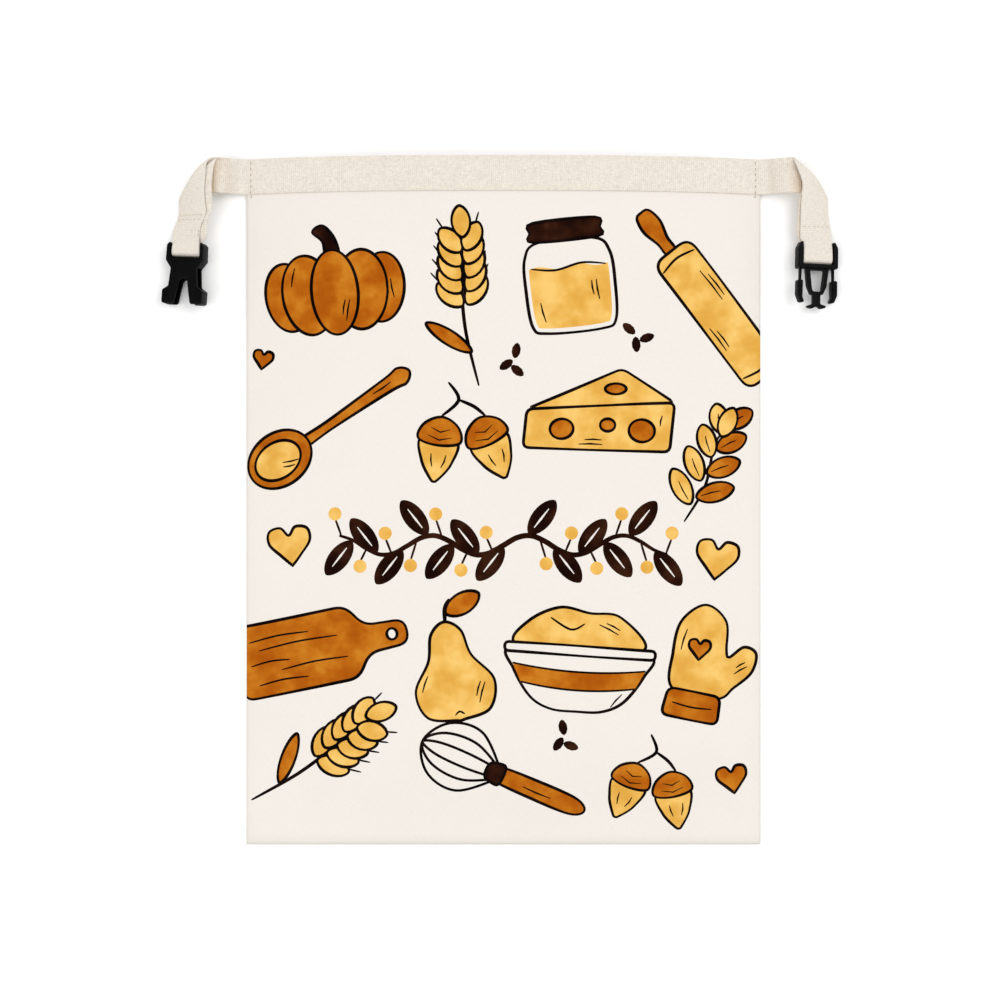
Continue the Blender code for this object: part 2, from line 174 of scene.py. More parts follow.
class Recipe:
    """The nodes of one finish, round one Principled shader."""

    def __init__(self, name: str) -> None:
        """Start a new material.

        Args:
            name: The material's name.
        """
        self.material = bpy.data.materials.new(name)
        self.material.use_nodes = True
        self.tree = self.material.node_tree
        self.shader = self.tree.nodes["Principled BSDF"]

    def put(self, socket: Socket, value: object) -> None:
        """Set a socket's number or colour, or link a signal or another socket to it.

        Args:
            socket: The input socket.
            value: What it gets.
        """
        if isinstance(value, Signal):
            value = value.socket
        if isinstance(value, Socket):
            self.tree.links.new(value, socket)
        elif isinstance(value, tuple) and len(value) == 3 and socket.type == "RGBA":
            socket.default_value = (*value, 1.0)
        else:
            socket.default_value = value

    def node(self, kind: str, settings: dict, sockets: dict) -> bpy.types.Node:
        """Add a node.

        Args:
            kind: The node's type.
            settings: Its own settings, which are set first.
            sockets: Values or links of its inputs, by name or number.

        Returns:
            The node.
        """
        node = self.tree.nodes.new(kind)
        for name, value in settings.items():
            setattr(node, name, value)
        for name, value in sockets.items():
            self.put(node.inputs[name], value)
        return node

    def attribute(self, name: str) -> bpy.types.Node:
        """Read an attribute of the piece."""
        return self.node("ShaderNodeAttribute", {"attribute_name": name}, {})

    def object_place(self) -> Socket:
        """Read the place in the piece's own frame."""
        return self.node("ShaderNodeTexCoord", {}, {}).outputs["Object"]

    def axes(self, place: Socket) -> list[Signal]:
        """Split a place into its three numbers."""
        return [Signal(self, part) for part in self.node("ShaderNodeSeparateXYZ", {}, {0: place}).outputs]

    def noise(self, place: Socket, scale: Triple, detail: float = 2.0) -> Signal:
        """Add a noise.

        Args:
            place: Where it is read.
            scale: Its scale along each axis, a metre.
            detail: How many finer layers it has.

        Returns:
            The noise, about from 0 to 1.
        """
        stretch = self.node("ShaderNodeVectorMath", {"operation": "MULTIPLY"}, {0: place, 1: scale})
        sockets = {"Vector": stretch.outputs[0], "Scale": 1.0, "Detail": detail}
        return Signal(self, self.node("ShaderNodeTexNoise", {}, sockets).outputs[0])

    def mix(self, factor: Signal | float, first: object, second: object, blend: str = "MIX") -> object:
        """Mix two colours.

        Args:
            factor: How much of the second, from 0 to 1.
            first: A colour or a colour socket.
            second: A colour or a colour socket.
            blend: The Mix node's blend type.

        Returns:
            The mixed colour's socket.
        """
        settings = {"data_type": "RGBA", "blend_type": blend}
        return self.node("ShaderNodeMix", settings, {0: factor, 6: first, 7: second}).outputs[2]

    def shaded(self, colour: object, level: Signal) -> object:
        """Multiply a colour by a level."""
        grey = self.node("ShaderNodeCombineColor", {}, {0: level, 1: level, 2: level}).outputs[0]
        return self.mix(1.0, colour, grey, "MULTIPLY")

    def surface(self, colour: object, roughness: object, specular: float = 0.5) -> None:
        """Set the shader's colour, roughness and specular level."""
        values = {"Base Color": colour, "Roughness": roughness, "Specular IOR Level": specular}
        for name, value in values.items():
            self.put(self.shader.inputs[name], value)

    def bump(self, height: Signal, distance: float, strength: float) -> None:
        """Raise the surface by a height.

        Args:
            height: The height, as a share of distance.
            distance: How far a height of 1 stands out, in metres.
            strength: How much of it shows.
        """
        sockets = {"Height": height, "Distance": distance, "Strength": strength}
        self.put(self.shader.inputs["Normal"], self.node("ShaderNodeBump", {}, sockets).outputs[0])


# ---------------------------------------------------------------- finishes


@dataclass(frozen=True)
class WovenCotton:
    """A woven cotton: plain weave with slubs, and dye where its cloth is printed."""

    name: str
    colour: Colour
    warp_pitch: float
    weft_pitch: float
    slub: float
    relief: float
    # The colour that the painted shade in the SHADE attribute darkens the cloth towards.
    shade_tint: Colour = (0.74, 0.71, 0.68)
    rib: float = 0.0
    printed: bool = False
    wander: float = 0.0003
    mottle: float = 0.035
    rib_shade: float = 0.10
    roughness: float = 0.94
    dye_gloss: float = 0.10
    specular: float = 0.04

    def weave(self, recipe: Recipe, place: Socket, slubs: Signal) -> Signal:
        """Make the height of the weave.

        Args:
            recipe: The finish's nodes.
            place: The place on the cloth.
            slubs: How thick the threads are.

        Returns:
            The height, about from 0 to 1.
        """
        shift = (recipe.noise(place, (420.0, 420.0, 0.0), 1.0) - 0.5) * self.wander
        turns = (math.pi / self.warp_pitch, math.pi / self.weft_pitch)
        warp, weft = (((axis + shift) * turn).sin() for axis, turn in zip(recipe.axes(place), turns))
        over = (warp * weft) > 0.0
        threads = over * abs(warp) + (1 - over) * abs(weft)
        plain = threads * 0.6 + abs(warp) * abs(weft) * 0.4
        return plain * (1 - self.rib) + abs(warp) * self.rib + slubs * 0.9

    def dyed(self, recipe: Recipe, place: Socket, cloth: object) -> tuple[object, Signal]:
        """Lay the print's dye over the cloth's colour, with the mottling of thin washes.

        Args:
            recipe: The finish's nodes.
            place: The place on the cloth.
            cloth: The bare cloth's colour.

        Returns:
            The colour's socket, and the roughness.
        """
        dye = recipe.attribute(DYE)
        share = Signal(recipe, dye.outputs["Alpha"])
        wash = recipe.noise(place, (62.0, 62.0, 0.0), 2.5).ramp(0.30, 0.70)
        fine = recipe.noise(place, (300.0, 300.0, 3.0)) - 0.5
        depth = {"Color": dye.outputs["Color"], "Gamma": 0.84 + wash * 0.36 + fine * 0.22}
        worn = recipe.shaded(recipe.node("ShaderNodeGamma", {}, depth).outputs[0], 1.04 - wash * 0.10)
        return recipe.mix(share, cloth, worn), self.roughness - share * self.dye_gloss

    def make(self) -> bpy.types.Material:
        """Make the material.

        Returns:
            The material.
        """
        recipe = Recipe(self.name)
        place = recipe.attribute(LAY).outputs["Vector"]
        along, across = (recipe.noise(place, (*scale, 300.0)) for scale in ((2400.0, 420.0), (420.0, 2400.0)))
        slubs = (along - 0.5) + (across - 0.5)
        broad = recipe.noise(place, (28.0, 28.0, 0.0)) - 0.5
        ribs = abs((recipe.axes(place)[0] * (math.pi / self.warp_pitch)).sin())
        shade = 1 + slubs * self.slub + broad * self.mottle + (ribs - 0.64) * (self.rib * self.rib_shade)
        cloth = recipe.shaded(self.colour, shade)
        # Painted shade: the SHADE attribute darkens the cloth towards its shade colour beside seams, under
        # the tape's folds and in its tabs' waves.
        depth = Signal(recipe, recipe.attribute(SHADE).outputs["Fac"])
        cloth = recipe.mix(depth, cloth, self.shade_tint, "MULTIPLY")
        look = self.dyed(recipe, place, cloth) if self.printed else (cloth, self.roughness)
        recipe.surface(*look, self.specular)
        recipe.bump(self.weave(recipe, place, slubs), self.relief, 0.55)
        return recipe.material


@dataclass(frozen=True)
class SewingThread:
    """Spun cotton sewing thread."""

    name: str
    colour: Colour
    twist: float = 16000.0

    def make(self) -> bpy.types.Material:
        """Make the material.

        Returns:
            The material.
        """
        recipe = Recipe(self.name)
        place = recipe.object_place()
        x, y, _ = recipe.axes(place)
        twist = ((x + y) * self.twist).sin()
        shade = 1 + twist * 0.06 + (recipe.noise(place, (2500.0,) * 3) - 0.5) * 0.25
        recipe.surface(recipe.shaded(self.colour, shade), 0.8)
        recipe.bump(twist, 0.00004, 0.5)
        return recipe.material


@dataclass(frozen=True)
class MouldedPlastic:
    """Satin moulded plastic with a fine grain."""

    name: str
    colour: Colour
    paler: float = 1.6

    def make(self) -> bpy.types.Material:
        """Make the material.

        Returns:
            The material.
        """
        recipe = Recipe(self.name)
        place = recipe.object_place()
        grain = recipe.noise(place, (3800.0,) * 3)
        flow = recipe.noise(place, (260.0, 90.0, 260.0))
        colour = recipe.mix(flow, self.colour, tuple(c * self.paler for c in self.colour))
        recipe.surface(colour, 0.30 + flow * 0.12 + grain * 0.06, 0.05)
        recipe.bump(grain, 0.00003, 0.35)
        return recipe.material


@dataclass(frozen=True)
class Floor:
    """A plain pale surface with a very fine grain."""

    colour: Colour = (0.97, 0.97, 0.965)

    def make(self) -> bpy.types.Material:
        """Make the material.

        Returns:
            The material.
        """
        recipe = Recipe("pale_floor")
        shade = 1 + (recipe.noise(recipe.object_place(), (9.0,) * 3) - 0.5) * 0.01
        recipe.surface(recipe.shaded(self.colour, shade), 0.9, 0.1)
        return recipe.material


# ---------------------------------------------------------------- cloth


def closed_shell(
    name: str,
    top: np.ndarray,
    bottom: np.ndarray,
    faces: Sequence[Sequence[int]],
    lay: np.ndarray,
    shade: np.ndarray,
    thickness: float,
) -> Piece:
    """Make a closed sheet of cloth from its two sides.

    Args:
        name: The piece's name.
        top: The points of its upper side, in a list or a grid.
        bottom: The point under each of them.
        faces: The faces of its upper side, as numbers of points.
        lay: Each point's place on the flat cloth.
        shade: How far each point is darkened by painted shade, from 0 to 1.
        thickness: The cloth's thickness.

    Returns:
        The piece, whose attributes LAY and SHADE hold the place on the cloth and the painted shade.
    """
    top, bottom, lay = top.reshape(-1, 3), bottom.reshape(-1, 3), lay.reshape(-1, 2)
    count = len(top)
    edges = {(f[i - 1], f[i]) for f in faces for i in range(len(f))}
    rim = [(b, a, a + count, b + count) for a, b in sorted(edges) if (b, a) not in edges]
    below = [tuple(i + count for i in reversed(f)) for f in faces]
    mesh = bpy.data.meshes.new(name)
    mesh.from_pydata(np.concatenate([top, bottom]).tolist(), [], [*faces, *below, *rim])
    mesh.shade_smooth()
    places = np.zeros((2 * count, 3), np.float32)
    places[:count, :2] = places[count:, :2] = lay
    places[count:, 2] = thickness
    mesh.attributes.new(LAY, "FLOAT_VECTOR", "POINT").data.foreach_set("vector", places.ravel())
    shades = np.tile(shade.ravel(), 2).astype(np.float32)
    mesh.attributes.new(SHADE, "FLOAT", "POINT").data.foreach_set("value", shades)
    mesh.update()
    return linked(name, mesh)


def grid_faces(rows: int, columns: int) -> list[tuple[int, ...]]:
    """Number the faces of a grid of points.

    Args:
        rows: How many rows it has.
        columns: How many points a row has.

    Returns:
        The faces.
    """
    return [
        (r * columns + c, r * columns + c + 1, (r + 1) * columns + c + 1, (r + 1) * columns + c)
        for r in range(rows - 1)
        for c in range(columns - 1)
    ]


def grid_normals(grid: np.ndarray) -> np.ndarray:
    """Find the unit normals of a grid of points, whose faces turn as grid_faces gives them.

    Args:
        grid: The grid's points.

    Returns:
        The normal at each point.
    """
    along = np.gradient(grid, axis=0)
    across = np.gradient(grid, axis=1)
    normals = np.cross(across, along)
    return normals / np.linalg.norm(normals, axis=2, keepdims=True)


def read_table(rows: Sequence[Sequence[float]], x: float) -> list[float]:
    """Read a table at a place, on a smooth curve through its rows.

    Args:
        rows: Rows of numbers, each with its place first.
        x: The place, which is kept within the table.

    Returns:
        The numbers there, with the place first.
    """
    x = min(max(x, rows[0][0]), rows[-1][0])
    i = max(k for k in range(len(rows) - 1) if rows[k][0] <= x)
    before, first, last, after = (rows[min(max(k, 0), len(rows) - 1)] for k in range(i - 1, i + 3))
    span = last[0] - first[0]
    t = (x - first[0]) / span
    made = [x]
    for p0, p1, p2, p3 in list(zip(before, first, last, after))[1:]:
        m1 = (p2 - p0) / (last[0] - before[0]) * span
        m2 = (p3 - p1) / (after[0] - first[0]) * span
        start = (2 * t**3 - 3 * t**2 + 1) * p1 + (t**3 - 2 * t**2 + t) * m1
        made.append(start + (3 * t**2 - 2 * t**3) * p2 + (t**3 - t**2) * m2)
    return made


def eased(rows: Sequence[Pair], x: float) -> float:
    """Read a table of places and values, which eases from each value to the next.

    Args:
        rows: The places and their values.
        x: The place, which is kept within the table.

    Returns:
        The value there.
    """
    x = min(max(x, rows[0][0]), rows[-1][0])
    i = max(k for k in range(len(rows) - 1) if rows[k][0] <= x)
    share = float(smooth((x - rows[i][0]) / (rows[i + 1][0] - rows[i][0])))
    return rows[i][1] + (rows[i + 1][1] - rows[i][1]) * share


def fitted(
    piece: Piece, finish: bpy.types.Material, nodes: Iterable[str] = ()
) -> Piece:
    """Give a piece its finish, hang it under the root, and hide the CAD nodes it stands for.

    Args:
        piece: The finished piece.
        finish: Its material.
        nodes: The CAD nodes it stands for.

    Returns:
        The piece.
    """
    piece.data.materials.clear()
    piece.data.materials.append(finish)
    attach(piece, "root")
    if nodes:
        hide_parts(*nodes)
    log.info("%s: %d faces", piece.name, len(piece.data.polygons))
    return piece


@dataclass(frozen=True)
class Crease:
    """A soft crease: its place, the way it runs, its half length and half width, and its height."""

    x: float
    y: float
    turn_deg: float
    half_length: float
    half_width: float
    rise: float

    def at(self, x: np.ndarray, y: np.ndarray) -> np.ndarray:
        """Find its height at a place.

        Args:
            x: Places across the bag.
            y: Places along the bag.

        Returns:
            The heights.
        """
        turn = math.radians(self.turn_deg)
        along = (x - self.x) * math.cos(turn) + (y - self.y) * math.sin(turn)
        across = (y - self.y) * math.cos(turn) - (x - self.x) * math.sin(turn)
        return self.rise * np.exp(-((along / self.half_length) ** 2) - (across / self.half_width) ** 2)


@dataclass(frozen=True)
class BagForm:
    """How the bag's cloth lies: its sizes, the air left in it, its creases and its puckered seams."""

    half_width: float = 0.150
    half_height: float = 0.201
    cloth: float = 0.0010
    gap: float = 0.0003
    mouth_drop: float = 0.0017
    mouth_bow: float = 0.0008
    crown: float = 0.0115
    mouth_crown: float = 0.0098
    crown_power: float = 3.2
    foot_rise: float = 0.062
    mouth_fade: float = 0.090
    seam_roll: float = 0.0011
    pucker: float = 0.00030
    side_fade: float = 0.007
    foot_fade: float = 0.008
    held: float = 0.002
    under_tape: float = 0.022
    # Painted shade of the rolled edges, at the foot and beside the seams: each its depth and its reach.
    foot_edge_shade: Pair = (0.55, 0.0016)
    seam_edge_shade: Pair = (0.30, 0.0012)
    creases: tuple[Crease, ...] = (
        Crease(-0.085, 0.095, 72, 0.075, 0.016, 0.0011),
        Crease(0.060, 0.030, 100, 0.090, 0.020, -0.0010),
        Crease(-0.030, -0.080, 25, 0.080, 0.017, 0.0009),
        Crease(0.092, -0.110, 118, 0.055, 0.015, 0.0010),
        Crease(-0.100, -0.135, 62, 0.050, 0.014, -0.0009),
        Crease(0.020, 0.140, 8, 0.085, 0.013, -0.0008),
    )

    def mouth_line(self, x: float | np.ndarray) -> float | np.ndarray:
        """Find where the mouth's edge is, which bows out in the middle."""
        return self.half_height - self.mouth_drop - self.mouth_bow * (x / self.half_width) ** 2

    def puckers(self, x: np.ndarray, y: np.ndarray) -> np.ndarray:
        """Find the small waves that the side seams and the foot's seam draw into the cloth.

        Args:
            x: Places across the bag.
            y: Places along the bag.

        Returns:
            The waves' heights.
        """
        side = np.maximum(self.half_width - np.abs(x), 0)
        foot = np.maximum(y + self.half_height, 0)
        mouth = smooth((self.mouth_line(x) - self.under_tape - y) / 0.02)
        turn = np.where(x < 0, 0.0, 2.1)
        by_side = uneven_wave(y, 290, 1.3, 57, turn) * np.exp(-side / self.side_fade)
        by_foot = uneven_wave(x, 240, 1.5, 43) * np.exp(-foot / self.foot_fade)
        held = (1 - np.exp(-side / self.held)) * (1 - np.exp(-foot / self.held))
        return self.pucker * (by_side + by_foot) * held * mouth

    def level(self, x: np.ndarray, y: np.ndarray) -> np.ndarray:
        """Find the height of the front cloth's middle.

        Args:
            x: Places across the bag.
            y: Places along the bag.

        Returns:
            The heights.
        """
        x, y = np.asarray(x, float), np.asarray(y, float)
        across = 1 - np.minimum(1.0, np.abs(x) / self.half_width) ** self.crown_power
        up = smooth((y + self.half_height) / self.foot_rise)
        near_mouth = smooth((y - self.half_height + self.mouth_fade) / self.mouth_fade)
        crown = self.crown + (self.mouth_crown - self.crown) * near_mouth
        creases = sum(c.at(x, y) for c in self.creases) * across * up * (1 - near_mouth)
        rim = self.cloth + self.gap + self.cloth / 2
        return rim + crown * across * up + creases + self.puckers(x, y)

    def to_seam(self, x: np.ndarray, y: np.ndarray) -> np.ndarray:
        """Find how far a place is from the nearest sewn edge."""
        return np.clip(np.minimum(self.half_width - np.abs(x), y + self.half_height), 0, None)

    def edge_shade(self, x: np.ndarray, y: np.ndarray) -> np.ndarray:
        """Find the painted shade at the foot and beside the seams: how far the cloth is darkened there, from
        0 to 1.
        """
        by_foot, by_seam = self.foot_edge_shade, self.seam_edge_shade
        foot = by_foot[0] * np.exp(-np.clip(y + self.half_height, 0, None) / by_foot[1])
        return np.clip(foot + by_seam[0] * np.exp(-self.to_seam(x, y) / by_seam[1]), 0, 1)

    def rolled(self, distance: np.ndarray, radius: float) -> np.ndarray:
        """Find how far an edge of a radius has curved away, at a distance from its end."""
        inside = np.clip(radius - distance, 0, radius)
        return radius - np.sqrt(np.maximum(radius**2 - inside**2, 0))


# ---------------------------------------------------------------- print


class Dye(Enum):
    """The colours of the print."""

    BARE = (0.0, 0.0, 0.0, 0.0)
    GOLD = (*linear(226, 177, 88), 1.0)
    CARAMEL = (*linear(180, 101, 18), 1.0)
    CHOCOLATE = (*linear(36, 13, 4), 1.0)
    INK = (*linear(12, 4, 3), 1.0)


def through(points: Sequence[Pair], closed: bool, step: float = 1.1) -> Loop:
    """Draw a smooth line through points.

    Args:
        points: The points, in millimetres.
        closed: Whether it comes back to its start.
        step: About how far apart its points are.

    Returns:
        The line's points.
    """
    p = np.array(points, float)
    n = len(p)
    made = []
    for i in range(n if closed else n - 1):
        at = [(i + k) % n if closed else min(max(i + k, 0), n - 1) for k in (-1, 0, 1, 2)]
        a, b, c, d = p[at]
        count = max(2, round(float(np.linalg.norm(c - b)) / step))
        t = np.linspace(0, 1, count, endpoint=False)[:, None]
        made.append(
            b + (c - a) / 2 * t + (a - 2.5 * b + 2 * c - d / 2) * t**2 + (1.5 * (b - c) + (d - a) / 2) * t**3
        )
    if not closed:
        made.append(p[-1:])
    return np.concatenate(made)


def both_sides(half: Sequence[Pair]) -> list[Pair]:
    """Complete a closed line from its right half, whose points in the middle are kept once."""
    return [*half, *[(-x, y) for x, y in reversed(half) if x]]


def panel(corners: Sequence[Pair], radius: float, step: float = 1.2) -> Loop:
    """Draw a closed line with straight sides and rounded corners.

    Args:
        corners: The corners, in millimetres.
        radius: How far from each corner its curve starts.
        step: About how far apart the line's points are.

    Returns:
        The line's points.
    """
    t = np.linspace(0, 1, 7)[:, None]
    p = np.array(corners, float)
    made = []
    for before, here, after in zip(np.roll(p, 1, 0), p, np.roll(p, -1, 0)):
        ends = [here + (q - here) * min(0.5, radius / np.linalg.norm(q - here)) for q in (before, after)]
        made.append((1 - t) ** 2 * ends[0] + 2 * t * (1 - t) * here + t**2 * ends[1])
    line = np.concatenate([*made, made[0][:1]])
    lengths = np.concatenate([[0.0], np.cumsum(np.linalg.norm(np.diff(line, axis=0), axis=1))])
    at = np.linspace(0, lengths[-1], max(10, round(lengths[-1] / step)), endpoint=False)
    return np.stack([np.interp(at, lengths, line[:, k]) for k in (0, 1)], 1)


def oval(x: float, y: float, half_width: float, half_height: float, turn_deg: float = 0.0) -> Loop:
    """Draw an oval, in millimetres.

    Args:
        x: Its middle's X.
        y: Its middle's Y.
        half_width: Half its width.
        half_height: Half its height.
        turn_deg: How far it is turned.

    Returns:
        The line's points.
    """
    count = max(10, round(math.pi * (half_width + half_height) / 1.2))
    angle = np.linspace(0, 2 * math.pi, count, endpoint=False)
    loop = np.stack([half_width * np.cos(angle), half_height * np.sin(angle)], 1)
    return moved(loop, x, y, turn_deg)


def grain(length: float, width: float) -> Loop:
    """Draw a grain or leaf, pointed at both ends, from the origin along +X.

    Args:
        length: Its length, in millimetres.
        width: Its width.

    Returns:
        The line's points.
    """
    count = max(5, round(length / 1.3))
    t = np.linspace(0, math.pi, count)
    top = np.stack([length * (1 - np.cos(t)) / 2, width / 2 * np.sin(t) ** 1.25], 1)
    return np.concatenate([top * (1, -1), top[::-1][1:-1]])


def moved(loop: Loop, x: float, y: float, turn_deg: float = 0.0) -> Loop:
    """Turn a line about the origin and move it."""
    c, s = math.cos(math.radians(turn_deg)), math.sin(math.radians(turn_deg))
    return loop @ np.array([[c, s], [-s, c]]) + (x, y)


def grown(loop: Loop, amount: float | np.ndarray) -> Loop:
    """Move a closed line outwards, by one amount or by one for each point.

    Args:
        loop: The line's points.
        amount: How far each moves.

    Returns:
        The new line's points.
    """
    along = np.roll(loop, -1, 0) - np.roll(loop, 1, 0)
    out = np.stack([along[:, 1], -along[:, 0]], 1)
    out /= np.maximum(np.linalg.norm(out, axis=1, keepdims=True), 1e-9)
    area = float(np.sum(loop[:, 0] * np.roll(loop[:, 1], -1) - loop[:, 1] * np.roll(loop[:, 0], -1)))
    return loop + out * np.reshape(amount, (-1, 1)) * (1 if area > 0 else -1)


def ribbon(line: Loop, width: float, blunt: float = 0.35) -> Loop:
    """Give an open line a width, which narrows towards its ends.

    Args:
        line: The line's points, in millimetres.
        width: Its width in the middle.
        blunt: The share of the width that is left at the ends.

    Returns:
        A closed line round it.
    """
    along = np.gradient(line, axis=0)
    out = np.stack([-along[:, 1], along[:, 0]], 1)
    out /= np.maximum(np.linalg.norm(out, axis=1, keepdims=True), 1e-9)
    share = blunt + (1 - blunt) * np.sin(np.linspace(0, math.pi, len(line))) ** 0.5
    half = (width / 2 * share)[:, None]
    return np.concatenate([line - out * half, (line + out * half)[::-1]])


@dataclass
class Motif:
    """One drawn thing of the print, in millimetres: its patches, each over the ones before it."""

    line: float = 1.35
    patches: list[tuple[Loop, Dye]] = field(default_factory=list)

    def body(self, loop: Loop, dye: Dye) -> None:
        """Fill a closed line with a dye, and ink its outline, which swells and thins as a pen's does.

        Args:
            loop: The line's points.
            dye: The dye inside it.
        """
        around = np.linspace(0, 2 * math.pi, len(loop), endpoint=False)
        swell = 1 + 0.3 * np.sin(2 * around + 0.8 * len(self.patches))
        self.patch(grown(loop, self.line / 2), Dye.INK)
        self.patch(grown(loop, -self.line / 2 * swell), dye)

    def round_body(self, half: Sequence[Pair], dye: Dye) -> None:
        """Fill and ink a smooth shape, given by its right half."""
        self.body(through(both_sides(half), True), dye)

    def patch(self, loop: Loop, dye: Dye) -> None:
        """Fill a closed line with a dye."""
        self.patches.append((loop, dye))

    def stroke(self, points: Sequence[Pair], width: float = 1.1, dye: Dye = Dye.INK) -> None:
        """Ink a smooth line through points."""
        self.patch(ribbon(through(points, False), width), dye)

    def hatch(self, x: float, y: float, length: float, turn_deg: float, count: int = 2) -> None:
        """Ink a few short lines side by side, as a pen shades an edge.

        Args:
            x: The first line's middle, X.
            y: The first line's middle, Y.
            length: The first line's length.
            turn_deg: How far the lines are turned.
            count: How many lines there are.
        """
        for k in range(count):
            reach = length * (1 - 0.28 * k) / 2
            ends = np.array([(-reach, 0.0), (0.0, 0.25), (reach, 0.0)]) + (1.2 * k, 2.1 * k)
            self.mark(ends, (x, y, turn_deg))

    def mark(
        self, points: Sequence[Pair], at: Triple, width: float = 0.9, blunt: float = 0.5, dye: Dye = Dye.INK
    ) -> None:
        """Draw a short line with corners at points, moved to a place and turned.

        Args:
            points: The corners.
            at: The place's X and Y, and the turn in degrees.
            width: The line's width.
            blunt: The share of it that is left at the ends.
            dye: The line's dye.
        """
        self.patch(ribbon(moved(np.array(points, float), *at), width, blunt), dye)

    def placed(self, x: float, y: float, turn_deg: float, size: float = 1.0) -> list[tuple[Loop, Dye]]:
        """Put its patches at a place, turned and enlarged."""
        return [(moved(loop * size, x, y, turn_deg), dye) for loop, dye in self.patches]


def wheat(length: float = 78.0, bend: float = 9.0, pairs: int = 5) -> Motif:
    """Draw an ear of wheat on its stem.

    Args:
        length: Its length, in millimetres.
        bend: How far its tip leans.
        pairs: How many pairs of grains it has.

    Returns:
        The motif.
    """
    m = Motif()
    m.stroke([(0, -length / 2), (bend * 0.1, -length / 6), (bend * 0.5, length / 8), (bend, length / 3)], 1.7)
    m.body(moved(grain(25, 6.4), bend * 0.1, -length * 0.30, 132), Dye.CARAMEL)
    for k in range(pairs):
        share = k / pairs
        x, y = bend * (0.35 + 0.62 * share), length * (-0.03 + 0.38 * share)
        for side in (-1, 1):
            turn = 83 - side * (40 - 9 * share)
            tip = moved(np.array([(14.0, 0.0), (22.0 - 3 * share, 0.8 * side)]), x, y, turn)
            m.stroke([tuple(tip[0]), tuple(tip[1])], 0.9)
            m.body(moved(grain(15.5 - 1.5 * share, 9.0), x + side * 1.2, y, turn), Dye.GOLD)
    m.body(moved(grain(15, 8.4), bend * 0.98, length * 0.35, 81), Dye.GOLD)
    return m


def rolling_pin(length: float = 104.0) -> Motif:
    """Draw a rolling pin.

    Args:
        length: Its length, in millimetres.

    Returns:
        The motif.
    """
    m = Motif()
    half, barrel = length / 2, length * 0.31
    for side in (-1, 1):
        knob = [(barrel, 2.4), (barrel + 6, 2.8), (half - 8, 4.8), (half - 1, 3.4), (half, 0)]
        loop = [(side * x, y) for x, y in knob] + [(side * x, -y) for x, y in reversed(knob[:-1])]
        m.body(through(loop, True), Dye.CARAMEL)
    m.body(panel([(-barrel, 10.4), (barrel, 10.4), (barrel, -10.4), (-barrel, -10.4)], 6.0), Dye.GOLD)
    for side in (-1, 1):
        x = side * (barrel - 6)
        m.stroke([(x, -9.4), (x + side * 1.8, 0), (x, 9.4)], 1.2)
    m.hatch(-barrel * 0.35, 5.4, 17, 1)
    m.hatch(barrel * 0.25, -7.6, 13, 0)
    return m


def spoon(length: float = 88.0) -> Motif:
    """Draw a wooden spoon.

    Args:
        length: Its length, in millimetres.

    Returns:
        The motif.
    """
    m = Motif()
    half = length / 2
    m.round_body([(2.2, half - 26), (2.1, 0), (3.2, 12 - half), (4.0, 4 - half), (0, -half)], Dye.CARAMEL)
    m.body(oval(0, half - 15, 12.5, 16.0), Dye.CARAMEL)
    m.body(oval(0, half - 14, 8.4, 11.6), Dye.GOLD)
    m.hatch(-3.5, half - 19, 8, 68)
    m.hatch(0.5, 15 - half, 10, 90, 1)
    return m


def jar(width: float = 36.0, height: float = 46.0) -> Motif:
    """Draw a jar with a lid, half full.

    Args:
        width: Its width, in millimetres.
        height: Its height.

    Returns:
        The motif.
    """
    m = Motif()
    w, h = width / 2, height / 2
    glass = [(w * 0.62, h * 0.62), (w * 0.95, h * 0.36), (w, -h * 0.2), (w * 0.93, -h * 0.86), (w * 0.6, -h)]
    loop = through(both_sides(glass), True)
    m.body(loop, Dye.BARE)
    honey = grown(loop, -m.line / 2 - 1.6)
    level = h * 0.16 + 0.8 * np.sin(honey[:, 0] * 0.35)
    honey[:, 1] = np.minimum(honey[:, 1], level)
    m.patch(honey, Dye.GOLD)
    m.stroke([(-w * 0.84, h * 0.17), (-w * 0.3, h * 0.11), (w * 0.3, h * 0.2), (w * 0.84, h * 0.14)], 1.1)
    m.round_body([(w * 0.72, h * 0.64), (w * 0.78, h * 0.80), (w * 0.70, h * 0.98)], Dye.CHOCOLATE)
    m.hatch(w * 0.60, -h * 0.3, 9, 94)
    m.hatch(-w * 0.66, -h * 0.62, 9, 100, 1)
    return m


def bowl(width: float = 70.0, dough: Dye = Dye.GOLD) -> Motif:
    """Draw a banded mixing bowl heaped with dough.

    Args:
        width: Its width, in millimetres.
        dough: The dough's dye.

    Returns:
        The motif.
    """
    m = Motif()
    w = width / 2
    heap = [(-0.86, 4), (-0.7, 15), (-0.3, 22), (0.1, 20), (0.5, 19), (0.85, 5), (0, 0)]
    m.body(through([(w * x, y) for x, y in heap], True), dough)
    m.stroke([(-w * 0.42, 17), (-w * 0.14, 12), (w * 0.04, 15)], 1.1)
    m.hatch(w * 0.36, 13, 10, -24)
    side = [(w * 0.93, 2), (w * 0.86, -8), (w * 0.62, -20), (w * 0.34, -25)]
    m.round_body([(0, 3), *side, (0, -25.6)], Dye.BARE)
    edge = through(side, False)
    u = np.linspace(-1, 1, 41)[:, None]
    lines = []
    for y in (-5.0, -13.5):
        reach = float(np.interp(-y, -edge[:, 1], edge[:, 0])) - m.line * 0.3
        lines.append(np.concatenate([u * reach, y - 2.4 * (1 - u**2)], 1))
    m.patch(np.concatenate([lines[0], lines[1][::-1]]), Dye.CARAMEL)
    for line in lines:
        m.patch(ribbon(line, 1.0, 0.8), Dye.INK)
    m.body(panel([(w, 4.6), (w, 0.2), (-w, 0.2), (-w, 4.6)], 2.0), Dye.BARE)
    m.hatch(w * 0.52, -19.5, 8, 52, 1)
    return m


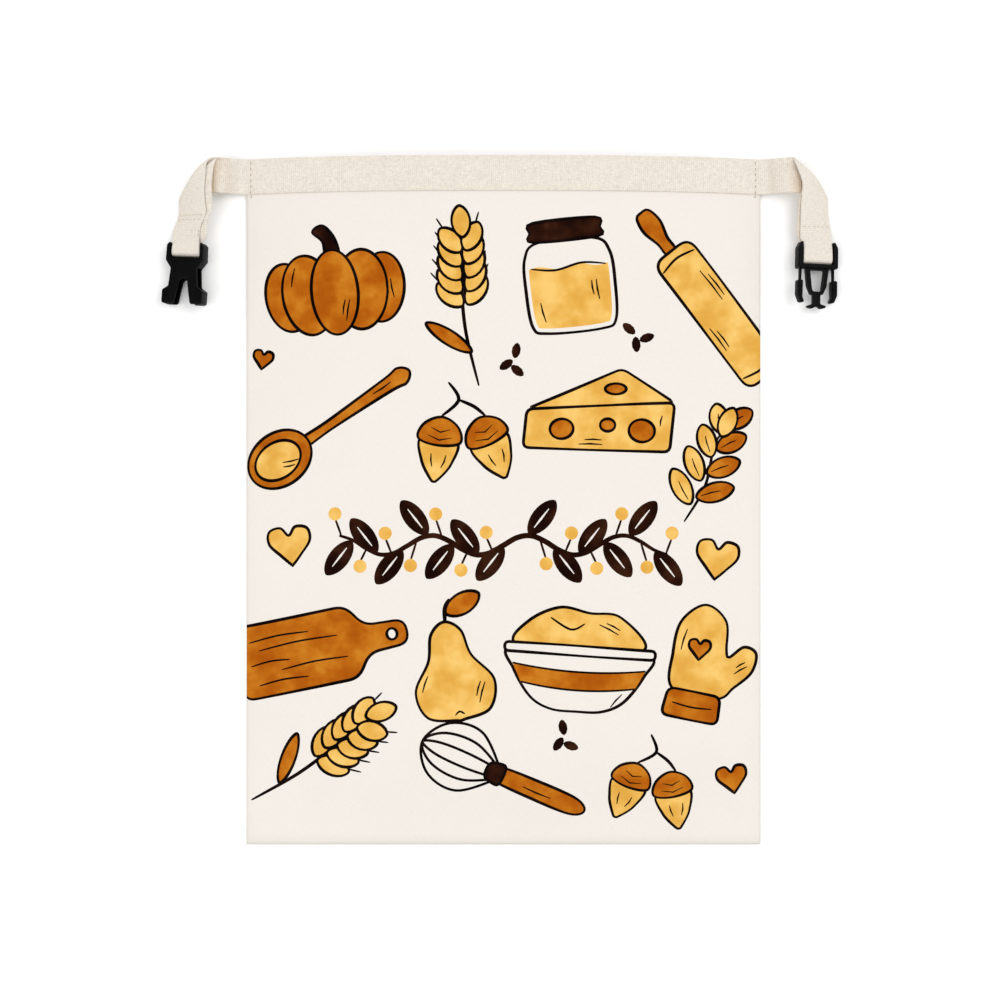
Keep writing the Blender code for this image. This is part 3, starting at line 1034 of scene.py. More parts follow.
def sprig(length: float = 70.0) -> Motif:
    """Draw a sprig of leaves.

    Args:
        length: Its length, in millimetres.

    Returns:
        The motif.
    """
    m = Motif()
    half = length / 2
    m.stroke([(0, -half), (2.5, -half / 3), (-1.5, half / 3), (0, half - 12)], 1.6)
    for k in range(4):
        y = -half * 0.62 + k * length * 0.21
        for side, fill in ((-1, Dye.GOLD), (1, Dye.CARAMEL)):
            turn = 90 - side * (52 - 6 * k)
            at = (side * 0.6, y + 2.2 * side, turn)
            m.body(moved(grain(20 - 1.6 * k, 9.6), *at), fill)
            m.mark([(2.5, 0.0), (8.0, 0.3), (13.0 - k, 0.0)], at, 0.8)
    m.body(moved(grain(16, 9.0), 0, half - 15, 90), Dye.GOLD)
    return m


def acorns() -> Motif:
    """Draw two acorns on a twig.

    Returns:
        The motif.
    """
    m = Motif()
    m.stroke([(-4, 24), (0, 15), (-9, 8)], 1.8)
    m.stroke([(0, 15), (7, 11), (12, 6)], 1.8)
    nut = [(8.6, 3), (7.2, -8), (2.0, -16), (0, -17.4)]
    cup = [(0, 14), (8.2, 10), (10.2, 2.6), (0, 0.2)]
    for at in ((-12, -6, -14), (13, -8, 18)):
        for half, dye in ((nut, Dye.GOLD), (cup, Dye.CARAMEL)):
            m.body(moved(through(both_sides(half), True), *at), dye)
        for reach in (4.2, -3.0):
            m.mark([(reach, -4.0), (reach * 0.9, -7.2), (reach * 0.6, -10.4)], at)
        for lift in (4.6, 8.4):
            m.mark([(-7.4 + lift / 3, lift), (0, lift - 1.8), (7.4 - lift / 3, lift)], at, 0.8, 0.4)
    return m


def whisk(length: float = 84.0) -> Motif:
    """Draw a whisk.

    Args:
        length: Its length, in millimetres.

    Returns:
        The motif.
    """
    m = Motif()
    half = length / 2
    for reach in (15.0, 9.2, 3.4):
        wire = [(0, half), (reach * 0.86, half * 0.8), (reach, half * 0.42), (1.6, 2)]
        loop = through(both_sides(wire), True)
        m.patch(grown(loop, 0.65), Dye.INK)
        m.patch(grown(loop, -0.65), Dye.BARE)
    m.round_body([(3.2, 4), (4.6, -half * 0.4), (4.0, -half * 0.86), (0, -half)], Dye.CARAMEL)
    m.round_body([(3.0, 8.4), (4.8, 5.0), (4.4, 0.6)], Dye.CHOCOLATE)
    m.hatch(-0.8, -half * 0.42, 14, 90, 1)
    return m


def pear() -> Motif:
    """Draw a pear with a leaf.

    Returns:
        The motif.
    """
    m = Motif()
    m.stroke([(0.5, 20), (1.6, 27), (4.4, 31)], 2.1)
    m.body(moved(grain(18, 9.4), 1.6, 24.5, 22), Dye.CARAMEL)
    right = [(0, 21), (7.0, 16), (9.8, 4), (18.4, -9), (14.4, -22), (2.0, -25)]
    left = [(-2.0, -25), (-14.8, -21.5), (-18.2, -9), (-10.2, 4), (-7.0, 16)]
    m.body(through(right + left, True), Dye.GOLD)
    m.hatch(12.0, -14, 10, 66)
    m.hatch(-13.4, -6, 8, 62, 1)
    m.stroke([(-2.2, -22.6), (0, -21.0), (2.4, -22.6)], 1.0)
    return m


def pumpkin() -> Motif:
    """Draw a pumpkin.

    Returns:
        The motif.
    """
    m = Motif()
    stalk = [(-2.4, 13), (-3.4, 21), (-7.6, 26), (-2.6, 28.4), (2.4, 22), (3.6, 13)]
    m.body(through(stalk, True), Dye.CHOCOLATE)
    lobes = ((22, 10.5, 16), (-22, 10.5, 16), (12.5, 12, 18.6), (-12.5, 12, 18.6), (0, 11, 19.6))
    for x, half_width, half_height in lobes:
        m.body(oval(x, -3, half_width, half_height, -x * 0.35), Dye.CARAMEL)
    m.hatch(5.4, -12, 10, 76)
    m.hatch(26.8, -4, 9, 96)
    m.hatch(-18.8, 6, 9, 74, 1)
    return m


def cheese() -> Motif:
    """Draw a wedge of cheese.

    Returns:
        The motif.
    """
    m = Motif()
    m.body(panel([(-34, -3), (8, 20), (34, 7)], 3.0), Dye.GOLD)
    m.body(panel([(-34, -3), (34, 7), (34, -16), (-34, -21)], 3.0), Dye.GOLD)
    for hole in ((-17, -10.5, 5.4, 4.6), (4, -6.5, 3.4, 3.0), (20, -7.5, 6.0, 5.2), (6, 10.5, 5.0, 2.4)):
        m.body(oval(*hole, 6), Dye.CARAMEL)
    m.hatch(-3, -16.2, 11, 5)
    m.hatch(28.5, -2, 5, 84, 1)
    return m


def mitt() -> Motif:
    """Draw an oven mitt.

    Returns:
        The motif.
    """
    m = Motif()
    hand = [(-10.5, -14), (-13.6, 2), (-12.6, 17), (-3, 26.5), (8, 21), (11, 8), (13, 5), (19, 11), (25.4, 9)]
    m.body(through([*hand, (25, 0), (18, -8.5), (11, -15)], True), Dye.GOLD)
    m.body(panel([(-13.4, -27), (13.8, -27), (12.8, -14), (-12.4, -14)], 3.4), Dye.CARAMEL)
    m.patches += heart(5.4, Dye.CARAMEL).placed(-1.6, 6, 6)
    m.hatch(19.5, 0, 7, 40)
    m.hatch(-9.6, 9, 10, 84, 1)
    m.stroke([(-9.5, -20.4), (0, -21.2), (9.8, -20.4)], 0.9)
    return m


def board() -> Motif:
    """Draw a chopping board.

    Returns:
        The motif.
    """
    m = Motif()
    half = [(-40, 17), (15, 17), (22, 6.5), (41, 5.5)]
    m.body(panel(half + [(x, -y) for x, y in reversed(half)], 5.0), Dye.CARAMEL)
    m.body(oval(34, 0, 2.5, 2.5), Dye.BARE)
    for y, start, end in ((9.0, -33, -4), (4.6, -29, 9), (-2.0, -34, -15), (-6.0, -20, 12), (-11.4, -32, -8)):
        m.stroke([(start, y), ((start + end) / 2, y + 0.9), (end, y)], 0.9)
    return m


def heart(size: float, dye: Dye) -> Motif:
    """Draw a small heart.

    Args:
        size: About half its width, in millimetres.
        dye: Its dye.

    Returns:
        The motif.
    """
    m = Motif()
    half = [(0, 0.42), (0.34, 0.78), (0.86, 0.66), (0.92, 0.12), (0.46, -0.44), (0.04, -0.88)]
    m.body(through(both_sides([(x * size, y * size) for x, y in half]), True, 0.8), dye)
    return m


def seeds() -> Motif:
    """Draw three seeds.

    Returns:
        The motif.
    """
    m = Motif()
    for x, y, turn in ((-5, -2, 35), (2, 3, 80), (6, -5, 140)):
        m.patch(moved(grain(7.4, 4.2), x, y, turn), Dye.CHOCOLATE)
    return m


def garland(length: float = 152.0, leaves: int = 13) -> Motif:
    """Draw a band of leaves and berries along a waving stem.

    Args:
        length: Its length, in millimetres.
        leaves: How many leaves it has.

    Returns:
        The motif.
    """
    m = Motif()
    half = length / 2

    def stem(x: float) -> float:
        """Find the stem's height at a place."""
        return 4.5 * math.sin(x * math.pi / 22)

    line = through([(float(x), stem(x)) for x in np.linspace(-half, half, 25)], False)
    m.patch(ribbon(line, 2.6, 0.4), Dye.CHOCOLATE)
    for k, x in enumerate(np.linspace(6 - half, half - 6, leaves)):
        side, away = (1 if k % 2 else -1), (1 if x > 0 else -1)
        at = (x, stem(x) + 0.5 * side, side * 52 if away > 0 else 180 - side * 52)
        m.patch(moved(grain(20.0, 9.6), *at), Dye.CHOCOLATE)
        m.mark([(4.0, 0.0), (9.0, 0.0), (15.0, 0.0)], at, 1.0, 0.4, Dye.BARE)
        berry = x + 8 * away
        root = berry - 3 * away
        m.stroke([(root, stem(root)), (berry, stem(berry) - 8 * side)], 1.1, Dye.CHOCOLATE)
        m.patch(oval(berry, stem(berry) - 10 * side, 3.1, 3.1), Dye.GOLD)
    return m


@dataclass(frozen=True)
class Placed:
    """A motif's drawing, and its place, turn and size on the bag, in millimetres and degrees."""

    draw: Callable[[], Motif]
    x: float
    y: float
    turn_deg: float = 0.0
    size: float = 1.25


LAYOUT: tuple[Placed, ...] = (
    Placed(pumpkin, -98, 124, 6),
    Placed(lambda: wheat(80, 12), -28, 114, 16),
    Placed(lambda: jar(40, 50), 38, 130, 6, 1.3),
    Placed(lambda: rolling_pin(118), 125, 108, -52),
    Placed(lambda: spoon(88), -100, 44, 124),
    Placed(acorns, -24, 40, 6, 1.2),
    Placed(cheese, 56, 52, -6),
    Placed(lambda: sprig(62), 119, 20, -24, 1.15),
    Placed(garland, 0, -26),
    Placed(lambda: heart(10.5, Dye.GOLD), -124, -26, 8),
    Placed(lambda: heart(10.5, Dye.GOLD), 124, -34, -8),
    Placed(board, -106, -86, 12),
    Placed(pear, -30, -96, 10),
    Placed(lambda: bowl(70), 44, -90, -4),
    Placed(mitt, 114, -94, -12, 1.25),
    Placed(lambda: wheat(78, -10), -104, -152, -62),
    Placed(lambda: whisk(82), 0, -160, 66),
    Placed(acorns, 86, -162, -8, 1.1),
    Placed(lambda: heart(7.5, Dye.CARAMEL), 133, -162, 10),
    Placed(seeds, 4, 78, 0),
    Placed(seeds, 78, 92, 60),
    Placed(seeds, 34, -140, 20),
    Placed(lambda: heart(5.0, Dye.CARAMEL), -140, 82, -10),
)


def within(points: np.ndarray, loop: Loop) -> np.ndarray:
    """Find which points lie in a closed line.

    Args:
        points: The points to test.
        loop: The closed line.

    Returns:
        The numbers of the points inside it.
    """
    low, high = loop.min(0), loop.max(0)
    near = np.nonzero(((points >= low) & (points <= high)).all(1))[0]
    if not len(near):
        return near
    x, y = points[near, 0][:, None], points[near, 1][:, None]
    a, b = loop, np.roll(loop, -1, 0)
    crosses = (a[:, 1] > y) != (b[:, 1] > y)
    rise = np.where(b[:, 1] == a[:, 1], 1e-12, b[:, 1] - a[:, 1])
    turns = np.where(b[:, 1] > a[:, 1], 1, -1)
    right = x < (b[:, 0] - a[:, 0]) * (y - a[:, 1]) / rise + a[:, 0]
    return near[np.sum(np.where(crosses & right, turns, 0), 1) != 0]


# ---------------------------------------------------------------- the bag's cloth


@dataclass(frozen=True)
class FrontCloth:
    """The printed front of the bag: one sheet, cut along the print's outlines so that its edges are crisp."""

    form: BagForm
    cell: float = 0.0042
    clear: float = 0.0009
    edge_reach: float = 0.0014
    turned_in: float = 0.9
    under_roll: float = 0.13

    def rings(self, reach: float) -> list[float]:
        """List the distances of rows from an edge, closest together at its curve."""
        near = [*EDGE_ROWS, 0.0022]
        count = round((reach - near[-1]) / self.cell)
        return near + [near[-1] + (reach - near[-1]) * i / count for i in range(1, count + 1)]

    def base_grid(self) -> tuple[list[Pair], list[Pair]]:
        """Lay out the sheet's own points.

        Returns:
            The points inside, and the points round its edge in order.
        """
        f = self.form
        out = [f.half_width - d for d in self.rings(f.half_width)]
        xs = sorted({round(s * x, 7) for s in (-1, 1) for x in out})
        height = 2 * f.half_height
        near = self.rings(height / 2)
        shares = sorted({round(s, 7) for d in near for s in (d / height, 1 - d / height)})
        grid = [[(x, -f.half_height + s * (f.mouth_line(x) + f.half_height)) for x in xs] for s in shares]
        inside = [p for row in grid[1:-1] for p in row[1:-1]]
        edge = grid[0] + [row[-1] for row in grid[1:]] + grid[-1][-2::-1] + [row[0] for row in grid[-2:0:-1]]
        return inside, edge

    def cut(self, patches: Sequence[tuple[Loop, Dye]]) -> tuple[np.ndarray, list[tuple[int, ...]]]:
        """Cut the flat sheet into triangles along the print's outlines.

        Args:
            patches: The print's patches, in metres.

        Returns:
            The flat points, and the triangles.
        """
        inside, edge = self.base_grid()
        loops = [np.array(edge), *[loop for loop, _ in patches]]
        tree = kdtree.KDTree(sum(map(len, loops)))
        for i, p in enumerate(p for loop in loops for p in loop):
            tree.insert((p[0], p[1], 0), i)
        tree.balance()
        free = [p for p in inside if tree.find((p[0], p[1], 0))[2] > self.clear or self.by_edge(p)]
        points = [Vector(p) for p in free]
        segments = []
        for loop in loops:
            start = len(points)
            points += [Vector(p) for p in loop]
            segments += [(start + i, start + (i + 1) % len(loop)) for i in range(len(loop))]
        flat, _, faces, *_ = delaunay_2d_cdt(points, segments, [], 0, 1e-7, False)
        flat = np.array([tuple(p) for p in flat])
        middles = np.array([flat[list(f)].mean(0) for f in faces])
        kept = set(within(middles, np.array(edge)).tolist())
        faces = [tuple(f) for i, f in enumerate(faces) if i in kept]
        used = np.unique(np.array(faces))
        number = np.full(len(flat), -1)
        number[used] = np.arange(len(used))
        return flat[used], [tuple(int(number[i]) for i in f) for f in faces]

    def by_edge(self, p: Pair) -> bool:
        """Say whether a point belongs to the rows of the rolled edge."""
        f, (x, y) = self.form, p
        return min(f.half_width - abs(x), y + f.half_height, f.mouth_line(x) - y) < self.edge_reach

    def build(self) -> Piece:
        """Build the sheet, with its print in the attribute DYE.

        Returns:
            The piece.
        """
        f = self.form
        drawn = [(loop, dye) for p in LAYOUT for loop, dye in p.draw().placed(p.x, p.y, p.turn_deg, p.size)]
        patches = [(loop * MM, dye) for loop, dye in drawn]
        flat, faces = self.cut(patches)
        x, y = flat[:, 0], flat[:, 1]
        level, roll = f.level(x, y), f.rolled(f.to_seam(x, y), f.seam_roll)
        to_mouth = np.clip(f.mouth_line(x) - y, 0, None)
        fold = f.rolled(to_mouth, f.cloth / 2) * self.turned_in
        top = np.stack([x, y, level + f.cloth / 2 - np.maximum(roll, fold)], 1)
        low = np.minimum(level - f.cloth / 2 - self.under_roll * roll + fold, top[:, 2] - THINNEST)
        bottom = np.stack([x, y, low], 1)
        # The front cloth's SHADE is the painted shade of its rolled edges.
        piece = closed_shell("front_cloth", top, bottom, faces, flat, f.edge_shade(x, y), f.cloth)
        middles = np.array([flat[list(face)].mean(0) for face in faces])
        dyes = np.zeros((len(piece.data.polygons), 4), np.float32)
        for loop, dye in patches:
            dyes[within(middles, loop)] = dye.value
        corners = np.repeat(dyes, [len(p.vertices) for p in piece.data.polygons], axis=0)
        piece.data.attributes.new(DYE, "FLOAT_COLOR", "CORNER").data.foreach_set("color", corners.ravel())
        return piece


@dataclass(frozen=True)
class BackCloth:
    """The back of the bag, which lies flat, with the hem at its mouth turned over into the bag."""

    form: BagForm
    hem: float = 0.020
    hem_inset: float = 0.009
    hem_wave: float = 0.00018
    under_roll: float = 0.9
    columns: int = 90
    rows: int = 70
    turn_steps: int = 10

    def build(self) -> Piece:
        """Build the sheet.

        Returns:
            The piece.
        """
        f = self.form
        half = f.cloth / 2
        turn = (f.cloth + f.gap) / 2
        height = 2 * f.half_height
        fold_line, hem_line = 1 - turn / height, 1 - self.hem / height
        side = np.sin(np.linspace(-math.pi / 2, math.pi / 2, self.columns + 1))
        x = f.half_width * np.sign(side) * np.abs(side) ** 0.9
        near = np.array([*EDGE_ROWS, 0.003]) / height
        flat_shares = np.concatenate([near, np.linspace(near[-1], fold_line, self.rows)[1:]])
        grid, lay, bare = [], [], []

        def add(share: float, inward: float, rise: float, reach: float, length: float, first: bool) -> None:
            """Add a row of points, at a share of the cloth's height."""
            inset = 1 - self.hem_inset * inward / f.half_width
            line = -f.half_height + share * (f.mouth_line(x) + f.half_height) + reach
            wave = self.hem_wave * uneven_wave(x, 190, 1.2, 71) * (0 if first else 1)
            grid.append(np.stack([x * inset, line, half + rise + wave * min(1, rise / turn)], 1))
            lay.append(np.stack([x * inset, np.full_like(x, length)], 1))
            bare.append(first)

        for share in flat_shares:
            add(share, 0, 0, 0, share * height - f.half_height, True)
        length = fold_line * height - f.half_height
        for i in range(1, self.turn_steps):
            angle = math.pi * i / self.turn_steps
            rise, reach = turn * (1 - math.cos(angle)), turn * math.sin(angle)
            add(fold_line, i / self.turn_steps, rise, reach, length + turn * angle, False)
        length += math.pi * turn
        for share in np.linspace(fold_line, hem_line, 12):
            add(share, 1, 2 * turn, 0, length + (fold_line - share) * height, False)
        middle = np.array(grid)
        normals = grid_normals(middle)
        top, bottom = middle + normals * half, middle - normals * half
        seam = f.to_seam(middle[..., 0], middle[..., 1])
        bottom[..., 2] += f.rolled(seam, f.seam_roll) * np.array(bare)[:, None] * self.under_roll
        top[..., 2] += np.maximum(0, bottom[..., 2] + THINNEST - top[..., 2])
        # Painted shade of the back cloth's rolled edges.
        edge_shade = f.edge_shade(middle[..., 0], middle[..., 1])
        faces = grid_faces(*middle.shape[:2])
        return closed_shell("back_cloth", top, bottom, faces, np.array(lay), edge_shade, f.cloth)


# ---------------------------------------------------------------- the tape


@dataclass(frozen=True)
class Station:
    """A place down a hanging strap, all but the angles in metres."""

    run: float
    centre: float
    half_width: float
    roll_deg: float
    cup_deg: float
    lean_deg: float
    edge: float


@dataclass(frozen=True)
class Strap:
    """One end of the tape: which side it hangs on, how it hangs, and how its two plies lie."""

    side: int
    stations: tuple[Station, ...]
    peek: tuple[Pair, ...]
    sway: tuple[Pair, ...]
    tongue: float
    seam_run: float
    gathers: Triple

    @classmethod
    def hung(
        cls,
        side: int,
        drop: Sequence[Station],
        bar: Station,
        top: float,
        clasp: Pair,
        peek: tuple[Pair, ...],
        sway: tuple[Pair, ...],
        tongue: float,
        seam: float,
        gathers: Triple,
    ) -> "Strap":
        """Hang a strap on a clasp's bar.

        Args:
            side: -1 on the left and 1 on the right.
            drop: The stations above the clasp.
            bar: The station at the clasp's bar, whose edge height is found here.
            top: How far the clasp's arms reach above the bar.
            clasp: Half the width and half the thickness of the clasp's half, which rests on the surface.
            peek: For runs down the strap, how far the ply that comes back lies to the side.
            sway: For runs down the strap, how far its inner edge curves towards the bag.
            tongue: How much further up the inner corner of the ply that comes back reaches, as a share.
            seam: The run at which a seam holds both plies.
            gathers: The run, half length and height of the small gathers beside its inner edge.

        Returns:
            The strap.
        """
        roll = math.radians(bar.roll_deg)
        rest = clasp[0] * math.sin(roll) + clasp[1] * math.cos(roll) + 0.0001
        edge = rest - bar.half_width * math.sin(roll)
        lean = top * math.tan(math.radians(bar.lean_deg))
        slot = (bar.half_width, bar.roll_deg, bar.cup_deg, bar.lean_deg, edge)
        ends = (Station(bar.run - top, bar.centre - lean, *slot), Station(bar.run, bar.centre, *slot))
        return cls(side, (*drop, *ends), peek, sway, tongue, seam, gathers)

    def at(self, run: float) -> Station:
        """Find the station at a run, on a smooth curve through the stations."""
        return Station(*read_table([astuple(s) for s in self.stations], run))


@dataclass(frozen=True)
class MouthTape:
    """The tape across the front of the mouth, and its two ends, which turn down to the clasp's halves."""

    form: BagForm
    thickness: float = 0.0013
    width: float = 0.0204
    lift: float = 0.00145
    seam_inset: float = 0.0013
    seam_sink: float = 0.00012
    band_sink: float = 0.00025
    unevenness: float = 0.00006
    turn_line: float = 0.1774
    # Painted shade of the tape: darker where it goes under its fold, on the right strap's ply that comes back
    # up, and in small waves across the tabs, which are in colour only.
    fold_shade_depth: float = 0.88
    fold_shade_slant: float = 0.0040
    fold_shade_power: float = 1.3
    over_fade: float = 0.0020
    back_shade: float = 0.30
    fold_shade_left: Triple = (0.1690, 0.0054, 0.25)
    fold_shade_right: Triple = (0.1712, 0.0072, 0.75)
    tab_wave_shades: tuple[Triple, ...] = (
        (-0.1614, 0.0026, 0.26),
        (0.1567, 0.0022, 0.18),
        (0.1618, 0.0016, 0.10),
    )
    turn_radius: float = 0.0017
    slant_length: float = 0.0175
    turn_fade: float = 0.014
    layer: float = 0.0008
    return_margin: float = 0.0008
    loop_radius: float = 0.00235
    loop_opens: float = 0.012
    pinch: float = 0.00022
    loop_steps: int = 16
    selvedge: float = 0.00055
    columns: int = 32
    gather: float = 0.0027
    fine: float = 0.0010
    coarse: float = 0.0025
    hump: tuple[Pair, ...] = (
        (0.150, 0), (0.1575, 36), (0.1660, 17), (0.1720, -11), (0.1800, -31), (0.1900, -46), (0.2000, -50),
    )
    hump_step: float = 0.0005
    left: Strap = Strap.hung(
        side=-1,
        drop=(
            Station(-0.0120, 0.1797, 0.0102, 36.0, 36.0, 0.0, 0.0026),
            Station(0.0152, 0.1801, 0.0102, 36.0, 30.0, 0.5, 0.0022),
            Station(0.0252, 0.1817, 0.0102, 30.0, 16.0, 3.0, 0.0018),
            Station(0.0335, 0.1830, 0.0098, 18.0, 6.0, 6.0, 0.0026),
        ),
        bar=Station(0.0443, 0.1836, 0.0088, 13.0, 0.0, 3.8, 0.0),
        top=0.0052,
        clasp=(0.0125, 0.0041),
        peek=(
            (-0.0100, 0.0034), (0.0072, 0.0036), (0.0148, 0.0041), (0.0212, 0.0026), (0.0241, 0.0018),
            (0.0318, 0.0040), (0.0353, 0.0033), (0.0374, 0.0018), (0.0396, 0.0),
        ),
        sway=(
            (-0.0106, 0.0003), (-0.0088, -0.0005), (-0.0064, -0.0013), (-0.0041, -0.0018), (0.0, -0.0018),
            (0.0072, -0.0017), (0.0155, -0.0009), (0.0215, 0.0004), (0.0250, -0.0004), (0.0306, -0.0024),
            (0.0365, -0.0019), (0.0400, -0.0006), (0.0430, 0.0),
        ),
        tongue=0.15,
        seam=0.0241,
        gathers=(0.0325, 0.0048, 0.00034),
    )
    right: Strap = Strap.hung(
        side=1,
        drop=(
            Station(-0.0120, 0.1796, 0.0102, 30.0, 36.0, 0.0, 0.0026),
            Station(0.0142, 0.1803, 0.0102, 30.0, 32.0, 0.0, 0.0022),
            Station(0.0220, 0.1806, 0.0102, 27.0, 20.0, 0.5, 0.0018),
            Station(0.0306, 0.1810, 0.0102, 20.0, 8.0, 2.0, 0.0018),
        ),
        bar=Station(0.0482, 0.1820, 0.0089, 12.0, 0.0, -1.0, 0.0),
        top=0.0097,
        clasp=(0.0122, 0.0033),
        peek=(
            (0.0060, -0.0008), (0.0130, -0.0006), (0.0175, 0.0009), (0.0226, 0.0010), (0.0289, 0.0017),
            (0.0330, 0.0017), (0.0355, 0.0012), (0.0385, 0.0),
        ),
        sway=(
            (-0.0106, 0.0026), (-0.0080, 0.0019), (-0.0047, 0.0008), (-0.0008, -0.0007), (0.0029, -0.0018),
            (0.0064, -0.0022), (0.0116, -0.0015), (0.0168, -0.0008), (0.0226, -0.0005), (0.0289, -0.0006),
            (0.0318, -0.0003), (0.0353, 0.0008), (0.0371, 0.0010), (0.0395, 0.0),
        ),
        tongue=0.0,
        seam=0.0299,
        gathers=(0.0330, 0.0040, 0.00014),
    )

    @property
    def line(self) -> float:
        """Where the tape's middle runs at the bag's sides."""
        return self.form.mouth_line(self.form.half_width) - self.width / 2

    @property
    def bend_length(self) -> float:
        """Length of tape in its turn."""
        return math.pi * self.turn_radius

    @property
    def drop_centre(self) -> float:
        """Length along the tape from the bag's middle to where the strap's run is 0."""
        return self.turn_line + self.bend_length / math.sqrt(2)

    def slope(self, out: float) -> float:
        """Find the tape's slope in radians, at a length out from the middle of the bag."""
        return math.radians(eased(self.hump, out))

    def hump_line(self) -> list[Pair]:
        """Follow the tape's slope from the bag's edge, as distances from the bag's middle and heights.

        Returns:
            The points, in order.
        """
        start = self.form.half_width
        place, height = start, self.form.cloth * 1.5 + self.form.gap + self.lift
        points = [(place, height)]
        for i in range(round((self.hump[-1][0] - start) / self.hump_step)):
            slope = self.slope(start + (i + 0.5) * self.hump_step)
            place += self.hump_step * math.cos(slope)
            height += self.hump_step * math.sin(slope)
            points.append((place, height))
        return points

    def over_hump(self, points: Sequence[Pair], out: float, above: float) -> Pair:
        """Find the place and height of what lies above the tape's middle, at a length out.

        Args:
            points: The points of hump_line.
            out: The length out from the middle of the bag.
            above: How far above the tape's middle it lies.

        Returns:
            The place and the height.
        """
        step = (out - self.form.half_width) / self.hump_step
        i = min(max(int(step), 0), len(points) - 2)
        (x0, z0), (x1, z1) = points[i], points[i + 1]
        slope, share = self.slope(out), step - i
        place, height = x0 + (x1 - x0) * share, z0 + (z1 - z0) * share
        return place - above * math.sin(slope), height + above * math.cos(slope)

    def place(self, strap: Strap, station: Station) -> Matrix:
        """Find the place of a strap's core: X across it, Y back up it and Z out of its face.

        Args:
            strap: The end of the tape.
            station: The station on it.

        Returns:
            The place.
        """
        roll = math.radians(station.roll_deg)
        height = station.edge + station.half_width * math.sin(roll)
        centre = Vector((strap.side * station.centre, self.line - station.run, height))
        lean = Matrix.Rotation(strap.side * math.radians(station.lean_deg), 4, "Z")
        return Matrix.Translation(centre) @ lean @ Matrix.Rotation(strap.side * roll, 4, "Y")

    def opening(self, strap: Strap, run: float) -> float:
        """Find how far each ply lies from the strap's core: further at the bar, and nearer at the seam."""
        opened = float(smooth((run - strap.stations[-1].run + self.loop_opens) / self.loop_opens))
        pinched = self.pinch * hill(run, strap.seam_run, 0.0011)
        return self.layer + (self.loop_radius - self.layer) * opened - pinched

    def across(self, station: Station, w: float, above: float) -> Vector:
        """Find a point of a strap in its station's frame, across the tape and above its core.

        Args:
            station: The station.
            w: How far across the tape it is.
            above: How far above the core it is.

        Returns:
            The point.
        """
        x = -w * station.half_width / (self.width / 2)
        if station.cup_deg < 0.5:
            return Vector((x, 0, above))
        radius = 2 * station.half_width / math.radians(station.cup_deg)
        angle, out = x / radius, radius + above
        return Vector((out * math.sin(angle), 0, out * math.cos(angle) - radius))

    def hung_point(self, strap: Strap, run: float, w: float, above: float) -> Vector:
        """Find a point of a hanging strap.

        Args:
            strap: The end of the tape.
            run: How far down the strap it is.
            w: How far across the tape it is.
            above: How far above the core it is.

        Returns:
            The point.
        """
        station = strap.at(run)
        centre, reach, rise = strap.gathers
        held = hill(run, centre, reach) * float(smooth((w - 0.001) / 0.005))
        ripple = rise * held * math.sin(2 * math.pi * w / self.gather + 40 * run)
        local = self.across(station, w, above + ripple)
        return self.place(strap, station) @ Vector((strap.side * local.x, local.y, local.z))

    def turned(self, strap: Strap, hump: Sequence[Pair], length: float, w: float, ply: int = 1) -> Vector:
        """Find a point of the tape beyond the bag.

        Args:
            strap: The end of the tape.
            hump: The points of hump_line.
            length: How far along the tape it is from the bag's middle.
            w: How far across the tape it is.
            ply: 1 for the ply that comes from the bag, and -1 for the one that comes back up.

        Returns:
            The point.
        """
        out = length - self.turn_line
        beyond, along = (out + w) / math.sqrt(2), (out - w) / math.sqrt(2)
        wrap = min(max(beyond, 0) / self.turn_radius, math.pi)
        reach = self.turn_radius * math.sin(wrap) + min(beyond, 0) - max(beyond - self.bend_length, 0)
        rise = self.turn_radius * (1 - math.cos(wrap)) - self.layer * (1 - ply)
        place, height = self.over_hump(hump, self.turn_line + (along + reach) / math.sqrt(2), rise)
        run = length - self.drop_centre
        inward = float(smooth(0.5 + w / self.width)) * (1 - math.cos(wrap)) / 2
        sway = Vector((-strap.side * read_table(strap.sway, run)[1] * inward, 0, 0))
        flat = Vector((strap.side * place, self.line + (reach - along) / math.sqrt(2), height))
        if beyond <= self.bend_length:
            return flat + sway
        hung = self.hung_point(strap, run, w, ply * self.opening(strap, run))
        return flat.lerp(hung, float(smooth((beyond - self.bend_length) / self.turn_fade))) + sway

    def widths(self) -> list[float]:
        """List the places across the tape, closest together at its selvedges.

        Returns:
            The places, from one selvedge to the other.
        """
        half = self.width / 2
        near = [0.0, 0.00012, 0.00035, 0.0007]
        rest = self.columns - 2 * len(near) + 1
        inner = [half - near[-1] - (self.width - 2 * near[-1]) * i / rest for i in range(1, rest)]
        return [half - d for d in near] + inner + [-half + d for d in reversed(near)]

    def drop_rows(self, strap: Strap) -> list[list[tuple[Vector, float, float]]]:
        """Lay the tape out from the bag's edge: over the turn, down to the bar, round it and back up.

        Args:
            strap: The end of the tape.

        Returns:
            Rows of points, each with its length along the tape and its place across it.
        """
        hump, ws = self.hump_line(), self.widths()
        bar, root = strap.stations[-1], math.sqrt(2)
        bend_end = self.turn_line + root * self.bend_length

        def steps(start: float, end: float, size: float) -> list[float]:
            """List the ends of equal steps from start to end, of about a size."""
            count = max(1, round(abs(end - start) / size))
            return [start + (end - start) * i / count for i in range(1, count + 1)]

